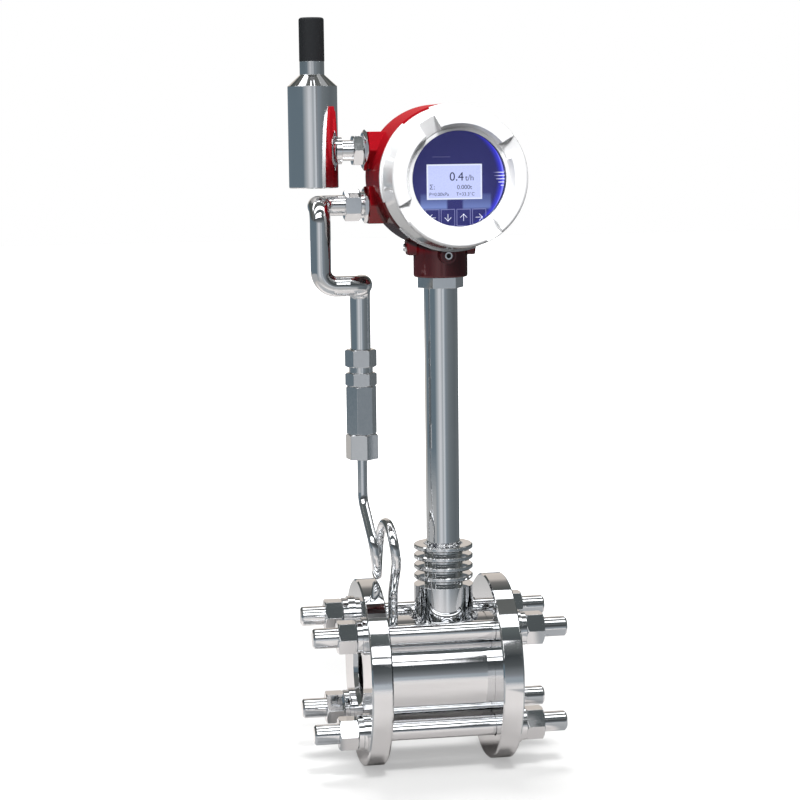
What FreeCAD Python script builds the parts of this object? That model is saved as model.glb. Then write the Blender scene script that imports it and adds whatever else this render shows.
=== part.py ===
import FreeCAD, Part
import math
import os

# Vortex flow meter, clamped between two pipe flanges, with a remote display head.
# Millimetres. X runs along the flow, Z up the stem, and the display faces -Y.
# The origin is the centre of the inlet flange's pipe bore, just inside its weld chamfer.

V = FreeCAD.Vector
X_AXIS = V(1, 0, 0)
Y_AXIS = V(0, 1, 0)
Z_AXIS = V(0, 0, 1)

# Flow body and its two clamping flanges
BORE_D = 40.0
BARREL_D = 88.0
FLANGE_GAP = 87.0
FLANGE_OD = 150.0
FLANGE_THICK = 17.0
FLANGE_EDGE = 1.2
PIPE_BORE_D = 49.0
PIPE_CHAMFER = 3.5
SEAT_DEPTH = 3.0
SEAT_GAP = 0.4
GASKET_THICK = 2.0
GASKET_LAND = 1.0

# Clamping studs, nuts and washers
STUD_D = 16.0
STUD_HOLE_D = 18.0
STUD_PCD = 110.0
STUD_COUNT = 4
STUD_END = 19.5
STUD_CHAMFER = 1.6
NUT_AF = 24.0
NUT_HEIGHT = 14.8
WASHER_OD = 30.0
WASHER_THICK = 3.0
SPRING_OD = 27.0
SPRING_THICK = 4.2
SPRING_SLIT = 1.2
SPRING_SLANT = 25.0
NUT_CHAMFER_ANGLE = 30.0
FLATS_LEVEL = 90.0
THREAD_GAP = 0.05
WASHER_GAP = 0.5

# Bluff bar and sensing probe in the bore
BAR_WIDTH = 11.0
BAR_TAIL = 4.0
BAR_DEPTH = 13.0
BAR_OFFSET = -22.0
BAR_POCKET = 3.0
SLIP_GAP = 0.05
PROBE_SHAFT_D = 16.0
PROBE_DISC_D = 24.0
PROBE_DISC_THICK = 5.0
PROBE_DISC_TOP = 42.0
PROBE_WING = 12.0
PROBE_WING_THICK = 3.0
PROBE_TIP = -8.0
PROBE_STUB_D = 12.0
PROBE_STUB = 16.0

# Stem and its finned cooling neck
STEM_OFFSET = 10.3
STEM_OD = 26.9
STEM_WALL = 2.6
STEM_GRIP = 14.9
COLLAR_D = 48.0
COLLAR_TOP = 69.9
CORE_D = 31.0
FIN_D = 47.8
FIN_COUNT = 4
FIN_THICK = 3.8
FIN_PITCH = 8.1
FIN_EDGE = 0.8
FIN_LEAD = 4.9
STEM_SOCKET = 7.0
SADDLE_GAP = 0.05
LOCK_NUT_AF = 32.0
LOCK_NUT_HEIGHT = 8.6

# Display head
HEAD_Z = 397.0
HEAD_D = 113.0
FRONT_SHOULDER = -49.4
REAR_SHOULDER = 20.0
SPIGOT_D = 99.6
SPIGOT_LEN = 14.2
REAR_SPIGOT_D = 91.4
REAR_SPIGOT_LEN = 11.0
HEAD_WALL = 5.0
PARTITION = -14.0
PARTITION_THICK = 4.0
HEAD_EDGE = 2.0
WIRE_HOLE_D = 10.0
NECK_D = 43.0
NECK_REACH = 78.9
NECK_EDGE = 1.6
STEM_PASSAGE_D = 18.0
EAR_SPAN = 56.0
EAR_DEPTH = 14.0
EAR_HEIGHT = 12.0
EAR_RISE = 17.4
EAR_EDGE = 1.4
EAR_DRAFT = 1.0
LOCK_BOSS_D = 12.6
LOCK_BOSS_RISE = 18.3
LOCK_BOSS_FACE = -34.0
LOCK_RECESS_D = 9.6
LOCK_RECESS = 1.6

# Cable entries on the left of the head
ENTRY_PITCH = 42.6
ENTRY_FACE = 58.0
ENTRY_AF = 29.0
ENTRY_EDGE = 1.5
ENTRY_THREAD_D = 20.0
ENTRY_SHANK = 14.0

# Covers, window and seals
COVER_RIM_D = 113.0
COVER_RIM = 3.6
COVER_STEP = 1.3
COVER_FRONT = -87.0
COVER_FRONT_D = 104.0
COVER_EDGE = 2.0
COVER_GAP = 0.6
THREAD_SLIP = 0.3
DISH_OUTER_D = 82.6
DISH_INNER_D = 77.6
DISH_DEPTH = 6.0
WINDOW_VIEW_D = 72.0
WINDOW_D = 79.0
WINDOW_THICK = 4.0
WINDOW_LIP = 1.0
WINDOW_RING_THICK = 4.0
WINDOW_RING_WALL = 3.2
RAMP_WIDTH = 13.4
RAMP_ANGLE = 30.5
RAMP_COUNT = 4
RAMP_SILL = 0.4
RAMP_RUNOUT = 0.8
RELIEF_ANGLE = 24.0
SEAL_D = 2.4
SEAL_GAP = 0.3
REAR_COVER_SKIRT = 7.3
REAR_COVER_END = 42.0
REAR_COVER_WALL = 5.0

# Display and electronics
PLATE_FACE = -61.0
PLATE_GAP = 3.8
PLATE_THICK = 2.0
SCREEN_WIDTH = 42.6
SCREEN_HEIGHT = 26.6
SCREEN_DROP = 2.8
SCREEN_THICK = 4.0
SCREEN_GAP = 0.2
DISPLAY_BOARD_D = 74.0
POWER_BOARD_D = 78.0
BOARD_THICK = 1.6
POWER_BOARD_LIFT = 8.0
PILLAR_AF = 5.0
PILLAR_RADIUS = 32.0
PILLAR_COUNT = 3
PILLAR_ANGLE = 90.0
TERMINAL_WIDTH = 52.0
TERMINAL_HEIGHT = 26.0
TERMINAL_DEPTH = 14.0
TERMINAL_WAYS = 6
TERMINAL_SCREW_D = 5.0

# Upper entry, link tube and radio module
UPPER_NUT_AF = 27.8
UPPER_NUT_THICK = 3.5
UPPER_GLAND_AF = 22.4
UPPER_GLAND_LEN = 8.2
PIPE_D = 16.0
PIPE_WALL = 1.5
MODULE_REACH = 100.0
MODULE_D = 38.6
MODULE_WALL = 2.0
MODULE_DROP = 7.4
MODULE_STRAIGHT = 78.6
MODULE_CONE = 8.8
MODULE_NECK_D = 19.2
MODULE_NECK = 10.4
MODULE_SPIGOT_D = 14.6
MODULE_SPIGOT = 6.0
MODULE_PLUG = 6.0
MODULE_EDGE = 0.6
LINK_COLLAR_D = 21.0
LINK_COLLAR = 2.6
CAP_D = 19.6
CAP_HEIGHT = 33.4
CAP_WALL = 2.4
CAP_EDGE = 2.0
AERIAL_D = 5.0
RADIO_BOARD_WIDTH = 26.0
RADIO_BOARD_HEIGHT = 58.0

# Lower entry and the bent conduit
LOWER_NUT_AF = 25.0
LOWER_NUT_THICK = 3.5
LOWER_RING_D = 21.0
LOWER_RING = 2.5
LOWER_GLAND_AF = 21.6
LOWER_GLAND_LEN = 12.6
CONDUIT_BEND = 12.0
CONDUIT_LEFT = 98.7
CONDUIT_FORWARD = 24.0
CONDUIT_FALL = 83.0
CONDUIT_DROP = 65.0

# Pressure sensor stack under the conduit
STACK_FALL = 135.0
CONDUIT_NUT_AF = 21.8
CONDUIT_NUT_LEN = 14.0
ADAPTER_NECK_D = 19.0
ADAPTER_NECK = 4.5
ADAPTER_SOCKET = 5.0
ADAPTER_LIP = 1.5
ADAPTER_AF = 21.8
ADAPTER_HEX = 10.6
SENSOR_AF = 21.4
SENSOR_LEN = 38.6
SENSOR_STUD_D = 12.0
SENSOR_STUD = 7.0
SENSOR_SPIGOT_D = 16.0
SENSOR_SPIGOT = 8.0
UNION_AF = 22.8
UNION_LEN = 19.9
HEX_TURN_UPPER = -6.0
HEX_TURN_SENSOR = 6.0
HEX_TURN_UNION = -20.0

# Siphon tube
SIPHON_D = 8.0
SIPHON_WALL = 1.2
SIPHON_LOOP = 20.6
SIPHON_LOOP_Z = 100.4
SIPHON_LEAN = 1.5
SIPHON_ENTRY_X = -49.6
SIPHON_TOP_BEND_Z = 141.0
SIPHON_LOW_BEND_Z = 64.0
SIPHON_FOOT_X = -31.3
SIPHON_SIDES = 8
SIPHON_SOCKET = 9.0
TAP_D = 4.0

# Screws
CAP_SCREW_HEAD_D = 5.8
CAP_SCREW_HEAD = 3.0
CAP_SCREW_D = 3.4
CAP_SCREW_LEN = 9.0
CAP_SOCKET_AF = 3.2
GROUND_HEAD_D = 6.4
GROUND_HEAD = 2.4
GROUND_SLOT = 1.0
GROUND_SEAT_GAP = 0.4

# Places that follow from the sizes above
FLANGE_IN = FLANGE_THICK - PIPE_CHAMFER
MID_X = FLANGE_IN + FLANGE_GAP / 2
OUTLET_X = 2 * MID_X
STEM_X = MID_X + STEM_OFFSET
BODY_HALF = FLANGE_GAP / 2 + SEAT_DEPTH - GASKET_THICK
FASTENER_STACK = WASHER_THICK + SPRING_THICK + NUT_HEIGHT
STUD_HALF = FLANGE_GAP / 2 + FLANGE_THICK + FASTENER_STACK + STUD_END
FIN_TOP = COLLAR_TOP + FIN_LEAD + (FIN_COUNT - 1) * FIN_PITCH + FIN_THICK
STEM_BORE_D = STEM_OD - 2 * STEM_WALL
NECK_BOTTOM = HEAD_Z - NECK_REACH
STEM_TOP = NECK_BOTTOM + STEM_GRIP
STEM_FOOT = FIN_TOP - STEM_SOCKET
EAR_BOTTOM = NECK_BOTTOM + EAR_RISE
LOCK_BOSS_Z = NECK_BOTTOM + LOCK_BOSS_RISE
SPIGOT_END = FRONT_SHOULDER - SPIGOT_LEN
REAR_SPIGOT_END = REAR_SHOULDER + REAR_SPIGOT_LEN
REAR_COVER_D = REAR_SPIGOT_D + 2 * REAR_COVER_SKIRT
PLATE_D = SPIGOT_D - 2 * HEAD_WALL - 2 * PLATE_GAP
REAR_CHAMBER = PARTITION + PARTITION_THICK
COVER_BACK = FRONT_SHOULDER - COVER_GAP
REAR_COVER_START = REAR_SHOULDER + COVER_GAP
WINDOW_FACE = COVER_FRONT + DISH_DEPTH + WINDOW_LIP
MODULE_X = STEM_X - MODULE_REACH
MODULE_BOTTOM = HEAD_Z - MODULE_DROP
MODULE_SHOULDER = MODULE_BOTTOM + MODULE_STRAIGHT
UPPER_ENTRY_Z = HEAD_Z + ENTRY_PITCH / 2
LOWER_ENTRY_Z = HEAD_Z - ENTRY_PITCH / 2
ENTRY_FACE_X = STEM_X - ENTRY_FACE
CONDUIT_X = STEM_X - CONDUIT_DROP
CONDUIT_LOW_Z = HEAD_Z - CONDUIT_FALL
STACK_TOP = HEAD_Z - STACK_FALL
ADAPTER_TOP = STACK_TOP - CONDUIT_NUT_LEN
SENSOR_TOP = ADAPTER_TOP - ADAPTER_NECK - ADAPTER_HEX
SENSOR_BOTTOM = SENSOR_TOP - SENSOR_LEN
UNION_BOTTOM = SENSOR_BOTTOM - UNION_LEN
SIPHON_X = MID_X + SIPHON_FOOT_X
POWER_BOARD_BACK = PARTITION - POWER_BOARD_LIFT


def rod(diameter, start, length, axis):
    """A plain cylinder from a point, along an axis."""
    return Part.makeCylinder(diameter / 2, length, start, axis)


def block(x0, x1, y0, y1, z0, z1):
    """A box between two corners."""
    return Part.makeBox(x1 - x0, y1 - y0, z1 - z0, V(x0, y0, z0))


def turned(profile, origin, axis):
    """A lathe-turned piece: closed profile of (radius, distance) points, turned round an axis."""
    points = [V(r, 0, h) for r, h in profile]
    face = Part.Face(Part.makePolygon(points + [points[0]]))
    solid = face.revolve(V(0, 0, 0), Z_AXIS, 360)
    solid.Placement = FreeCAD.Placement(origin, FreeCAD.Rotation(Z_AXIS, axis))
    return solid


def hexagon(across_flats, length, first_corner):
    """A hexagonal bar up Z, with one corner at the given angle."""
    radius = across_flats / math.sqrt(3)
    angles = [math.radians(first_corner + 60 * i) for i in range(6)]
    corners = [V(radius * math.cos(a), radius * math.sin(a), 0) for a in angles]
    return Part.Face(Part.makePolygon(corners + [corners[0]])).extrude(V(0, 0, length))


def hex_nut(across_flats, length, bore, first_corner, origin, axis, ends="both"):
    """A hexagonal nut: the bar, its corners turned down at the ends, and a round hole."""
    corner = across_flats / math.sqrt(3)
    face = across_flats / 2
    fall = (corner - face) * math.tan(math.radians(NUT_CHAMFER_ANGLE))
    low = fall if ends in ("both", "low") else 0
    high = fall if ends in ("both", "high") else 0
    profile = [(0, 0), (face if low else corner, 0), (corner, low)]
    profile += [(corner, length - high), (face if high else corner, length), (0, length)]
    profile = [p for i, p in enumerate(profile) if i == 0 or p != profile[i - 1]]
    nut = hexagon(across_flats, length, first_corner).common(turned(profile, V(0, 0, 0), Z_AXIS))
    nut = nut.cut(rod(bore, V(0, 0, -1), length + 2, Z_AXIS))
    nut.Placement = FreeCAD.Placement(origin, FreeCAD.Rotation(Z_AXIS, axis))
    return nut


def bent_path(points, limit):
    """A wire of straight runs joined by tangent arcs, each no larger than the limit."""
    edges = []
    last = points[0]
    for before, corner, after in zip(points, points[1:], points[2:]):
        run_in = corner - before
        run_out = after - corner
        turn = run_in.getAngle(run_out)
        reach_in = run_in.Length if before == points[0] else run_in.Length / 2
        reach_out = run_out.Length if after == points[-1] else run_out.Length / 2
        tangent = min(limit * math.tan(turn / 2), reach_in, reach_out)
        radius = tangent / math.tan(turn / 2)
        run_in.normalize()
        run_out.normalize()
        start = corner - run_in * tangent
        end = corner + run_out * tangent
        inward = (run_out - run_in).normalize()
        middle = corner + inward * (radius / math.cos(turn / 2) - radius)
        if (start - last).Length > 0.01:
            edges.append(Part.LineSegment(last, start).toShape())
        edges.append(Part.Arc(start, middle, end).toShape())
        last = end
    edges.append(Part.LineSegment(last, points[-1]).toShape())
    return Part.Wire(edges)


def bent_bar(path, points, diameter):
    """A round bar swept along a path."""
    ring = Part.Wire(Part.makeCircle(diameter / 2, points[0], points[1] - points[0]))
    return path.makePipeShell([ring], True, False)


def bent_tube(points, limit, diameter, wall):
    """A bent tube: a swept bar with a smaller bar taken out of it."""
    path = bent_path(points, limit)
    return bent_bar(path, points, diameter).cut(bent_bar(path, points, diameter - 2 * wall))


def stud_places():
    """The four stud axes, at 45 degrees to the vertical, as (y, z)."""
    angles = [math.radians(45 + 360 / STUD_COUNT * i) for i in range(STUD_COUNT)]
    return [(STUD_PCD / 2 * math.cos(a), STUD_PCD / 2 * math.sin(a)) for a in angles]


def bar_section(grow):
    """The bluff bar's trapezoid, wide face upstream, with a clearance all round."""
    x0 = MID_X + BAR_OFFSET - grow
    x1 = x0 + BAR_DEPTH + 2 * grow
    half_front = BAR_WIDTH / 2 + grow
    half_tail = BAR_TAIL / 2 + grow
    corners = [V(x0, -half_front, 0), V(x0, half_front, 0), V(x0 + 2, half_front, 0),
               V(x1, half_tail, 0), V(x1, -half_tail, 0), V(x0 + 2, -half_front, 0)]
    return Part.Face(Part.makePolygon(corners + [corners[0]]))


def bar_prism(half_height, grow):
    """The bluff bar stood up across the bore."""
    prism = bar_section(grow).extrude(V(0, 0, 2 * half_height))
    prism.translate(V(0, 0, -half_height))
    return prism


def meter_body():
    """Turned barrel with the flow bore, the bar's pockets, the probe's seat and the tapping."""
    start = V(MID_X - BODY_HALF, 0, 0)
    body = rod(BARREL_D, start, 2 * BODY_HALF, X_AXIS)
    body = body.cut(rod(BORE_D, start - X_AXIS, 2 * BODY_HALF + 2, X_AXIS))
    body = body.cut(bar_prism(BORE_D / 2 + BAR_POCKET + SLIP_GAP, SLIP_GAP))
    seat = PROBE_DISC_TOP - PROBE_DISC_THICK
    body = body.cut(rod(PROBE_SHAFT_D + 2 * SLIP_GAP, V(STEM_X, 0, 0), seat + 1, Z_AXIS))
    body = body.cut(rod(PROBE_DISC_D + 2 * SLIP_GAP, V(STEM_X, 0, seat), BARREL_D, Z_AXIS))
    socket = BARREL_D / 2 - SIPHON_SOCKET
    body = body.cut(rod(SIPHON_D + 2 * SLIP_GAP, V(SIPHON_X, 0, socket), BARREL_D, Z_AXIS))
    return body.cut(rod(TAP_D, V(SIPHON_X, 0, 0), socket + 1, Z_AXIS))


def shedder_bar():
    """The bluff bar that sheds the vortices, welded into two pockets in the bore."""
    return bar_prism(BORE_D / 2 + BAR_POCKET, 0)


def vortex_sensor():
    """Probe behind the bar: seating disc, shaft through the wall and a thin wing in the flow."""
    seat = PROBE_DISC_TOP - PROBE_DISC_THICK
    shaft_foot = BORE_D / 2 - 2
    probe = rod(PROBE_DISC_D, V(STEM_X, 0, seat), PROBE_DISC_THICK, Z_AXIS)
    probe = probe.fuse(rod(PROBE_SHAFT_D, V(STEM_X, 0, shaft_foot), seat - shaft_foot, Z_AXIS))
    probe = probe.fuse(rod(PROBE_STUB_D, V(STEM_X, 0, PROBE_DISC_TOP), PROBE_STUB, Z_AXIS))
    wing = block(STEM_X - PROBE_WING / 2, STEM_X + PROBE_WING / 2,
                 -PROBE_WING_THICK / 2, PROBE_WING_THICK / 2, PROBE_TIP, shaft_foot)
    return probe.fuse(wing).removeSplitter()


def flange(face_x, axis):
    """Plain ring flange: pipe bore with a weld chamfer, a seat for the barrel and stud holes."""
    outer = FLANGE_OD / 2
    pipe = PIPE_BORE_D / 2
    seat = BARREL_D / 2 + SEAT_GAP
    floor = FLANGE_THICK - SEAT_DEPTH
    profile = [(pipe + PIPE_CHAMFER, 0), (outer - FLANGE_EDGE, 0), (outer, FLANGE_EDGE),
               (outer, FLANGE_THICK - FLANGE_EDGE), (outer - FLANGE_EDGE, FLANGE_THICK),
               (seat, FLANGE_THICK), (seat, floor), (pipe, floor), (pipe, PIPE_CHAMFER)]
    disc = turned(profile, V(face_x, 0, 0), axis)
    for y, z in stud_places():
        disc = disc.cut(rod(STUD_HOLE_D, V(face_x, y, z) - axis, FLANGE_THICK + 2, axis))
    return disc


def gasket(seat_x):
    """Flat ring gasket between the barrel's end and the floor of the flange's seat."""
    outer = BARREL_D - 2 * GASKET_LAND
    ring = rod(outer, V(seat_x, 0, 0), GASKET_THICK, X_AXIS)
    return ring.cut(rod(PIPE_BORE_D + 2 * GASKET_LAND, V(seat_x, 0, 0), GASKET_THICK, X_AXIS))


def clamp_studs():
    """Four studs that pull the flanges together, with chamfered ends."""
    r = STUD_D / 2
    c = STUD_CHAMFER
    length = 2 * STUD_HALF
    profile = [(0, 0), (r - c, 0), (r, c), (r, length - c), (r - c, length), (0, length)]
    start = MID_X - STUD_HALF
    return [turned(profile, V(start, y, z), X_AXIS) for y, z in stud_places()]


def at_both_ends(make_one, distance):
    """One like piece on each end of each stud, measured outwards from the flange faces."""
    pieces = []
    for y, z in stud_places():
        for way in (-1, 1):
            x = MID_X + way * (FLANGE_GAP / 2 + FLANGE_THICK + distance)
            pieces.append(make_one(V(x, y, z), X_AXIS * way))
    return pieces


def flat_washer(origin, axis):
    """Flat washer against the flange."""
    washer = rod(WASHER_OD, origin, WASHER_THICK, axis)
    return washer.cut(rod(STUD_D + 2 * WASHER_GAP, origin, WASHER_THICK, axis))


def spring_washer(origin, axis):
    """Spring washer pressed flat, with its slanting slit."""
    washer = rod(SPRING_OD, origin, SPRING_THICK, axis)
    washer = washer.cut(rod(STUD_D + 2 * WASHER_GAP, origin, SPRING_THICK, axis))
    slit = block(-SPRING_THICK * 2, SPRING_THICK * 2, -SPRING_SLIT / 2, SPRING_SLIT / 2, 0, SPRING_OD)
    slit.rotate(V(0, 0, 0), Z_AXIS, SPRING_SLANT)
    slit.translate(origin + axis * (SPRING_THICK / 2))
    return washer.cut(slit)


def clamp_nut(origin, axis):
    """Hexagonal nut with flats above and below."""
    return hex_nut(NUT_AF, NUT_HEIGHT, STUD_D + 2 * THREAD_GAP, FLATS_LEVEL, origin, axis)


def cooling_neck():
    """Turned neck: a thick collar saddled on the barrel, a slim core and its cooling fins."""
    bore = STEM_BORE_D / 2
    socket = STEM_OD / 2 + SLIP_GAP
    core = CORE_D / 2
    fin = FIN_D / 2
    profile = [(bore, 0), (COLLAR_D / 2, 0), (COLLAR_D / 2, COLLAR_TOP), (core, COLLAR_TOP)]
    for i in range(FIN_COUNT):
        top = FIN_TOP - (FIN_COUNT - 1 - i) * FIN_PITCH
        low = top - FIN_THICK
        profile += [(core, low), (fin - FIN_EDGE, low), (fin, low + FIN_EDGE),
                    (fin, top - FIN_EDGE), (fin - FIN_EDGE, top), (core, top)]
    profile[-1] = (socket, FIN_TOP)
    profile += [(socket, STEM_FOOT), (bore, STEM_FOOT)]
    neck = turned(profile, V(STEM_X, 0, 0), Z_AXIS)
    saddle = rod(BARREL_D + 2 * SADDLE_GAP, V(STEM_X - COLLAR_D, 0, 0), 2 * COLLAR_D, X_AXIS)
    return neck.cut(saddle)


def stem_tube():
    """Plain tube from the cooling neck up into the head's neck."""
    tube = rod(STEM_OD, V(STEM_X, 0, STEM_FOOT), STEM_TOP - STEM_FOOT, Z_AXIS)
    return tube.cut(rod(STEM_BORE_D, V(STEM_X, 0, STEM_FOOT), STEM_TOP - STEM_FOOT, Z_AXIS))


def stem_lock_nut():
    """Hexagonal nut that locks the head on the stem, one flat to the front."""
    foot = V(STEM_X, 0, NECK_BOTTOM - LOCK_NUT_HEIGHT)
    bore = STEM_OD + 2 * THREAD_GAP
    return hex_nut(LOCK_NUT_AF, LOCK_NUT_HEIGHT, bore, 0, foot, Z_AXIS, "none")


def entry_boss(z):
    """Six-sided cast boss for one cable entry, flats above and below, with rounded edges."""
    boss = hexagon(ENTRY_AF, ENTRY_FACE, FLATS_LEVEL)
    rounded = [e for e in boss.Edges if abs(e.tangentAt(e.FirstParameter).z) > 0.9]
    boss = boss.makeFillet(ENTRY_EDGE, rounded)
    boss.Placement = FreeCAD.Placement(V(ENTRY_FACE_X, 0, z), FreeCAD.Rotation(Z_AXIS, X_AXIS))
    return boss


def head_outside():
    """The cast head before its chambers are hollowed."""
    radius = HEAD_D / 2
    edge = HEAD_EDGE
    profile = [(0, SPIGOT_END), (SPIGOT_D / 2, SPIGOT_END), (SPIGOT_D / 2, FRONT_SHOULDER),
               (radius - edge, FRONT_SHOULDER), (radius, FRONT_SHOULDER + edge),
               (radius, REAR_SHOULDER - edge), (radius - edge, REAR_SHOULDER),
               (REAR_SPIGOT_D / 2, REAR_SHOULDER), (REAR_SPIGOT_D / 2, REAR_SPIGOT_END),
               (0, REAR_SPIGOT_END)]
    head = turned(profile, V(STEM_X, 0, HEAD_Z), Y_AXIS)
    neck_top = HEAD_Z - HEAD_D / 2 + HEAD_WALL
    neck = rod(NECK_D, V(STEM_X, 0, NECK_BOTTOM), neck_top - NECK_BOTTOM, Z_AXIS)
    low_rim = [e for e in neck.Edges if abs(e.CenterOfMass.z - NECK_BOTTOM) < 0.01]
    neck = neck.makeFillet(NECK_EDGE, low_rim)
    neck = neck.cut(rod(REAR_COVER_D + 2 * COVER_GAP, V(STEM_X, REAR_SHOULDER, HEAD_Z), HEAD_D, Y_AXIS))
    half = EAR_SPAN / 2
    top = EAR_BOTTOM + EAR_HEIGHT
    corners = [V(-half, 0, top), V(-half + EAR_DRAFT, 0, EAR_BOTTOM), V(half - EAR_DRAFT, 0, EAR_BOTTOM),
               V(half, 0, top)]
    ears = Part.Face(Part.makePolygon(corners + [corners[0]])).extrude(V(0, EAR_DEPTH, 0))
    ears.translate(V(STEM_X, -EAR_DEPTH / 2, 0))
    ears = ears.makeFillet(EAR_EDGE, ears.Edges)
    lock_boss = rod(LOCK_BOSS_D, V(STEM_X, LOCK_BOSS_FACE, LOCK_BOSS_Z), -LOCK_BOSS_FACE, Y_AXIS)
    return head.fuse([neck, ears, lock_boss, entry_boss(UPPER_ENTRY_Z), entry_boss(LOWER_ENTRY_Z)])


def head_housing():
    """Cast head: display chamber in front, terminal chamber behind, entries, neck and screw boss."""
    head = head_outside()
    centre = V(STEM_X, 0, HEAD_Z)
    front = rod(SPIGOT_D - 2 * HEAD_WALL, centre + Y_AXIS * (SPIGOT_END - 1),
                PARTITION - SPIGOT_END + 1, Y_AXIS)
    rear = rod(REAR_SPIGOT_D - 2 * HEAD_WALL, centre + Y_AXIS * REAR_CHAMBER,
               REAR_SPIGOT_END - REAR_CHAMBER + 1, Y_AXIS)
    wires = rod(WIRE_HOLE_D, centre + V(0, PARTITION - 1, -HEAD_D / 4), PARTITION_THICK + 2, Y_AXIS)
    stem = rod(STEM_OD + 2 * THREAD_GAP, V(STEM_X, 0, NECK_BOTTOM - 1), STEM_TOP - NECK_BOTTOM + 1,
               Z_AXIS)
    passage = rod(STEM_PASSAGE_D, V(STEM_X, 0, NECK_BOTTOM), HEAD_Z - NECK_BOTTOM, Z_AXIS)
    recess = rod(LOCK_RECESS_D, V(STEM_X, LOCK_BOSS_FACE - 1, LOCK_BOSS_Z), LOCK_RECESS + 1, Y_AXIS)
    screw = rod(CAP_SCREW_D + 2 * THREAD_GAP, V(STEM_X, LOCK_BOSS_FACE, LOCK_BOSS_Z),
                LOCK_RECESS + CAP_SCREW_LEN + 1, Y_AXIS)
    seat = ground_screw_seat()
    ground = rod(CAP_SCREW_D + 2 * THREAD_GAP, seat - X_AXIS, CAP_SCREW_LEN + 2, X_AXIS)
    spot_face = rod(GROUND_HEAD_D + 2 * GROUND_SEAT_GAP, seat - X_AXIS * 2 * EAR_DRAFT,
                    2 * EAR_DRAFT, X_AXIS)
    head = head.cut([front, rear, wires, stem, passage, recess, screw, ground, spot_face])
    for z in (UPPER_ENTRY_Z, LOWER_ENTRY_Z):
        head = head.cut(rod(ENTRY_THREAD_D + 2 * THREAD_GAP, V(ENTRY_FACE_X - 1, 0, z),
                            ENTRY_FACE - REAR_SPIGOT_D / 4, X_AXIS))
    return head


def ground_screw_seat():
    """Middle of the flat spot in the sloping end of the left ear, where the earthing screw sits."""
    return V(STEM_X - EAR_SPAN / 2 + EAR_DRAFT, 0, EAR_BOTTOM + EAR_HEIGHT / 2)


def neck_lock_screw():
    """Socket-head screw in the recess of the front boss."""
    face = V(STEM_X, LOCK_BOSS_FACE + LOCK_RECESS, LOCK_BOSS_Z)
    screw = rod(CAP_SCREW_HEAD_D, face - Y_AXIS * CAP_SCREW_HEAD, CAP_SCREW_HEAD, Y_AXIS)
    screw = screw.fuse(rod(CAP_SCREW_D, face, CAP_SCREW_LEN, Y_AXIS))
    socket = hexagon(CAP_SOCKET_AF, CAP_SCREW_HEAD, 0)
    socket.Placement = FreeCAD.Placement(face - Y_AXIS * (CAP_SCREW_HEAD * 1.4),
                                         FreeCAD.Rotation(Z_AXIS, Y_AXIS))
    return screw.cut(socket)


def ground_screw():
    """Slotted earthing screw on the end of the left ear."""
    seat = ground_screw_seat()
    screw = rod(GROUND_HEAD_D, seat - X_AXIS * GROUND_HEAD, GROUND_HEAD, X_AXIS)
    screw = screw.fuse(rod(CAP_SCREW_D, seat, CAP_SCREW_LEN, X_AXIS))
    slot = block(seat.x - GROUND_HEAD - 1, seat.x - GROUND_HEAD / 2, -GROUND_HEAD_D, GROUND_HEAD_D,
                 seat.z - GROUND_SLOT / 2, seat.z + GROUND_SLOT / 2)
    return screw.cut(slot)


def ramps(front, dish_r, edge_r, depth, way):
    """Four channels in a cover's face: deep at the dish, sloping up almost to nothing at the rim."""
    sill = depth - RAMP_SILL
    slope = (sill - RAMP_RUNOUT) / (edge_r - dish_r)
    past = edge_r + RAMP_WIDTH / 2
    past_floor = sill - slope * (past - dish_r)
    inside = dish_r - RAMP_WIDTH / 4
    corners = [V(inside, front - way, 0), V(past, front - way, 0), V(past, front + way * past_floor, 0),
               V(dish_r, front + way * sill, 0), V(inside, front + way * sill, 0)]
    wedge = Part.Face(Part.makePolygon(corners + [corners[0]])).extrude(V(0, 0, RAMP_WIDTH))
    wedge.translate(V(0, 0, -RAMP_WIDTH / 2))
    wedges = []
    for i in range(RAMP_COUNT):
        one = wedge.copy()
        one.rotate(V(0, 0, 0), Y_AXIS, -(RAMP_ANGLE + 360 / RAMP_COUNT * i))
        one.translate(V(STEM_X, 0, HEAD_Z))
        wedges.append(one)
    return wedges


def rim_reliefs():
    """Shallow flats for the fingers, cut into the front cover's rim behind each ramp."""
    low = COVER_RIM_D / 2 - COVER_STEP
    base = V(STEM_X, COVER_BACK - COVER_RIM, HEAD_Z)
    outer = Part.makeCylinder(COVER_RIM_D, COVER_RIM + 1, base, Y_AXIS, RELIEF_ANGLE)
    ring = outer.cut(rod(2 * low, base, COVER_RIM + 1, Y_AXIS))
    start = 90 - RELIEF_ANGLE / 2
    reliefs = []
    for i in range(RAMP_COUNT):
        one = ring.copy()
        one.rotate(base, Y_AXIS, start - (RAMP_ANGLE + 360 / RAMP_COUNT * i))
        reliefs.append(one)
    return reliefs


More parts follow.
